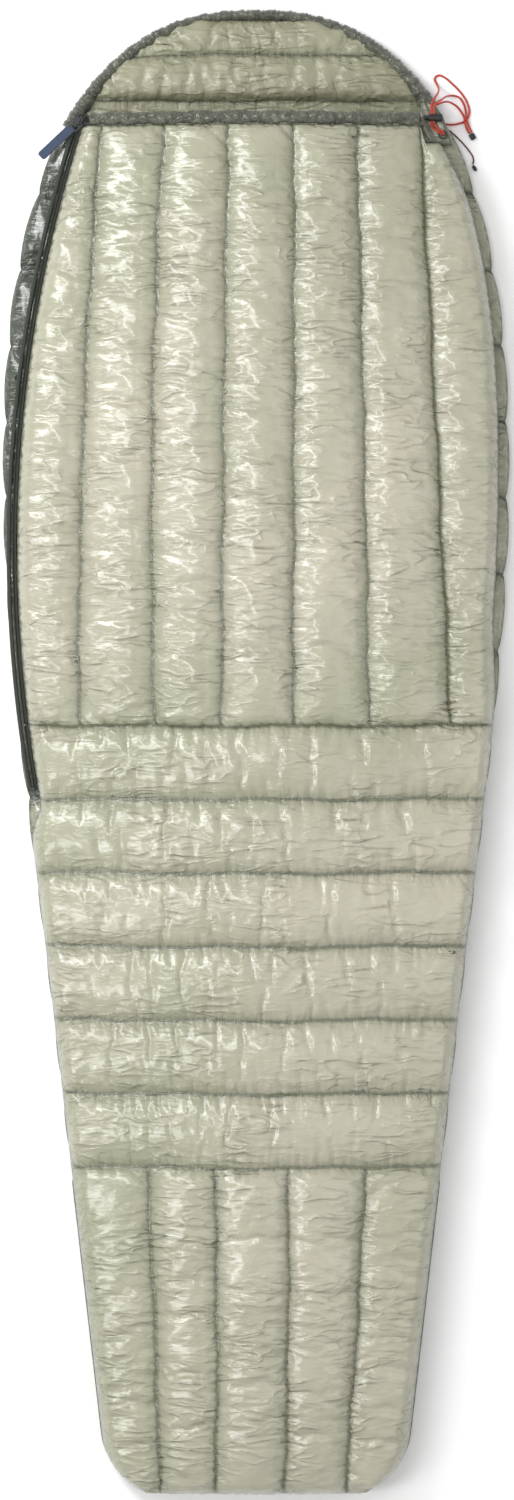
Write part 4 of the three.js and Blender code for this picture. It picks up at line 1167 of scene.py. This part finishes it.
zip_pieces = {}
for label, side, low, high in (
    ("back", -1, ZIP_LOW_Y, ZIP_TOP_Y),
    ("flap", 1, LEG_TOP_Y + 0.0008, ZIP_TOP_Y),
    ("lower", 1, ZIP_LOW_Y, LEG_TOP_Y - 0.0008),
):
    tape = make_tape(f"zip_tape_{label}", side, low, high)
    give(tape, zip_weave)
    zip_pieces[label] = (tape, make_coil(f"zip_coil_{label}", side, low, high))


# ---------- pull tag ----------

SLIDER_Y = 0.844
SLIDER_TURN = math.asin((SLIDER_Y - ZIP_CENTRE[1]) / ZIP_RADIUS)
TAG_TURN = -SLIDER_TURN - math.radians(29)
TAG_PIVOT = (float(zip_x(SLIDER_Y)), SLIDER_Y, 0.03815)
TAG_START = 0.0116
TAG_LENGTH = 0.058
TAG_WIDTH = 0.0126


def on_tag(points):
    """Places given along the tag, to its side and up, in the row frame."""
    c, s = math.cos(TAG_TURN), math.sin(TAG_TURN)
    points = np.asarray(points, dtype=float)
    side, along, up = points[:, 0], -points[:, 1], points[:, 2]
    return np.stack([
        TAG_PIVOT[0] + side * c - along * s,
        TAG_PIVOT[1] + side * s + along * c,
        TAG_PIVOT[2] + up,
    ], axis=1)


def tag_wave(share):
    """How far the slack tag stands off its flat at a share of its length."""
    return 0.0005 * math.sin(share * 5.2) * share


def make_tag():
    """Folded webbing round the ring's far bar, its end rounded."""
    count_x, count_y = 12, 60
    vertices, faces, uvs = [], [], []
    for layer in (1, -1):
        for i in range(count_y + 1):
            share = i / count_y
            along = TAG_START + share * TAG_LENGTH
            to_end = (1 - share) * TAG_LENGTH
            round_end = min(to_end / 0.005, 1)
            width = TAG_WIDTH * (0.62 + 0.38 * math.sqrt(1 - (1 - round_end) ** 2))
            eye = math.exp(-((share * TAG_LENGTH) / 0.0022) ** 2)
            thick = 0.0007 + 0.0011 * eye * (1 if share > 0 else 0.2)
            for j in range(count_x + 1):
                across = j / count_x - 0.5
                bead = 0.0002 * (abs(across) > 0.40)
                edge = 0 if j in (0, count_x) or i in (0, count_y) else 1
                rise = tag_wave(share) + layer * (thick + bead) * edge
                vertices.append((across * width, along, rise))
                uvs.append((share, across + 0.5))
    wide = count_x + 1
    size = wide * (count_y + 1)
    for i in range(count_y):
        for j in range(count_x):
            a = i * wide + j
            faces.append((a, a + 1, a + wide + 1, a + wide))
            faces.append((size + a, size + a + wide, size + a + wide + 1, size + a + 1))
    piece = new_object("pull_tag_webbing", on_tag(vertices), faces, uvs)
    weld(piece)
    return piece


def weld(piece):
    """Merges points that meet and points the faces outwards."""
    work = bmesh.new()
    work.from_mesh(piece.data)
    bmesh.ops.remove_doubles(work, verts=work.verts, dist=0.00001)
    bmesh.ops.recalc_face_normals(work, faces=work.faces)
    work.to_mesh(piece.data)
    work.free()
    turn_outwards(piece)


pull_tag = make_tag()
give(pull_tag, tag_weave)


def tag_seam():
    """The stitched box near the tag's edge."""
    half = TAG_WIDTH / 2 - 0.0016
    corners = [(-half, 0.0155), (-half, 0.0655), (half, 0.0655), (half, 0.0155), (-half, 0.0155)]
    line = []
    for (x0, y0), (x1, y1) in zip(corners, corners[1:]):
        for share in np.linspace(0, 1, 24, endpoint=False):
            y = y0 + (y1 - y0) * share
            wave = tag_wave((y - TAG_START) / TAG_LENGTH)
            line.append((x0 + (x1 - x0) * share, y, wave + 0.0008))
    return on_tag(line)


tag_stitches = repeat_along("tag_stitches", stitch_tree, [tag_seam()], 0.0022, 0.0016,
                            0.0004, 0.0004, tag_edge)


# ---------- cord lock, eyelet, tip and bead ----------

def make_cord_tip():
    """Flat clamp that holds the ends of the two red strands."""
    low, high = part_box("cord_tip")
    middle = Vector([(a + b) / 2 for a, b in zip(low, high)])
    turn = math.radians(28)
    count, rings = 24, [(-1, 0.0), (-1, 0.86), (-0.93, 1.0), (0.93, 1.0), (1, 0.86), (1, 0.0)]
    vertices = []
    for along, size in rings:
        for j in range(count):
            angle = 2 * math.pi * j / count
            x = 0.0038 * size * math.copysign(abs(math.cos(angle)) ** 0.7, math.cos(angle))
            z = 0.0022 * size * math.copysign(abs(math.sin(angle)) ** 0.8, math.sin(angle))
            y = along * 0.004
            vertices.append((
                middle.x + x * math.cos(turn) - y * math.sin(turn),
                middle.y + x * math.sin(turn) + y * math.cos(turn),
                middle.z + z,
            ))
    piece = new_object("cord_tip_clamp", vertices, ring_faces(len(rings), count))
    weld(piece)
    return piece


cord_tip = make_cord_tip()
give(cord_tip, lock_black)

for node, material in (
    ("zip_slider", zip_metal), ("pull_ring", zip_metal), ("zip_top_stop", zip_metal),
    ("zip_bottom_stop", zip_metal), ("lock_housing", lock_black), ("lock_plunger", lock_black),
    ("lock_spring", spring_wire), ("cord_eyelet", lock_black), ("side_cord_bead", lock_black),
    ("hood_cord", dark_braid), ("hem_cord", dark_braid),
):
    give(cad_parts[node], material)


# ---------- floor, light ----------

def make_floor():
    size = 6.0
    corners = [(-size, -size, 0), (size, -size, 0), (size, size, 0), (-size, size, 0)]
    floor = new_object("floor", [(x, y, -0.0004) for x, y, _ in corners], [(0, 1, 2, 3)])
    finish = Finish("floor_paper", Roughness=0.9)
    tone = finish.noise(finish.place(), 3.0)
    finish.set("Base Color", finish.mix(tone, rgb(250, 250, 250), rgb(244, 244, 244)))
    give(floor, finish.material)


def soft_light(name, place, target, size, power):
    data = bpy.data.lights.new(name, "AREA")
    data.shape = "RECTANGLE"
    data.size, data.size_y = size
    data.energy = power
    light = link(name, data)
    light.location = place
    direction = Vector(target) - Vector(place)
    light.rotation_euler = direction.to_track_quat("-Z", "Y").to_euler()


def make_lights():
    soft_light("key", (-1.7, 1.5, 2.0), (0, 0, 0), (0.7, 1.6), 46)
    soft_light("window", (-0.75, 0.9, 3.3), (0, 0, 0), (0.3, 2.0), 25)
    soft_light("low_window", (-1.5, -0.9, 2.2), (0, -0.4, 0), (0.5, 1.4), 20)
    soft_light("fill", (2.2, -0.4, 2.4), (0, 0, 0), (1.6, 2.6), 14)
    world = bpy.data.worlds.new("studio")
    world.use_nodes = True
    background = world.node_tree.nodes["Background"]
    background.inputs["Color"].default_value = (1, 1, 1, 1)
    background.inputs["Strength"].default_value = 0.62
    bpy.context.scene.world = world
    bpy.context.scene.view_settings.view_transform = "Standard"


make_floor()
make_lights()


# ---------- bodies, stand-ins, soft pieces ----------

CHEST_NODES = [f"chest_chamber_{i}" for i in range(1, 7)]
LOWER_NODES = [f"leg_chamber_{i}" for i in range(1, 7)] + [f"foot_chamber_{i}" for i in range(1, 6)]
BACK_NODES = [f"back_chest_chamber_{i}" for i in range(1, 9)]
BACK_NODES += [f"back_leg_chamber_{i}" for i in range(1, 7)] + ["back_foot_panel"]


for piece in (chest_flap, hem_channel, flap_stitches, *zip_pieces["flap"]):
    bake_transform(piece)
for piece in (hood_quilt, hood_rim):
    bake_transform(piece)
for piece in (chest_side, legs_and_foot, back_quilt, gusset, draft_tube, body_stitches,
              *zip_pieces["back"], *zip_pieces["lower"], drawcord_loop, drawcord_upper,
              drawcord_lower, side_cord, cord_tip):
    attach(piece, "root")
for piece in (pull_tag, tag_stitches):
    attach(piece, "pull")

# each piece with its slot, how full it is if it is padded, and the nodes that it stands for
for piece, slot, fill, *nodes in (
    (chest_flap, "top_shell", 0.8, *CHEST_NODES), (chest_side, "top_shell", 0.8, "chest_chamber_7"),
    (legs_and_foot, "top_shell", 0.8, *LOWER_NODES), (back_quilt, "back_shell", 0.6, *BACK_NODES),
    (hood_quilt, "lining", 0.6, "neck_band", "hood_chamber_lower", "hood_chamber_upper"),
    (draft_tube, "lining", 0.3, "draft_tube"), (gusset, "back_shell", 0.1, "neck_gusset"),
    (hood_rim, "gathered_trim", 0.3, "hood_rim"), (hem_channel, "gathered_trim", 0.3, "hem_channel"),
    *((zip_pieces[label][0], "zip_tape", None, f"zip_stringer_{label}") for label in zip_pieces),
    *((zip_pieces[label][1], "zip_tape", None) for label in zip_pieces),
    (flap_stitches, "top_shell", None), (body_stitches, "top_shell", None),
    (pull_tag, "tag_fabric", None, "pull_tag"), (tag_stitches, "tag_fabric", None),
    (cord_tip, "lock_plastic", None, "cord_tip"), (drawcord_loop, "red_cord", None, "drawcord_loop"),
    (drawcord_upper, "red_cord", None, "drawcord_upper"),
    (drawcord_lower, "red_cord", None, "drawcord_lower"), (side_cord, "dark_cord", None, "side_cord"),
):
    if nodes:
        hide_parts(*nodes)
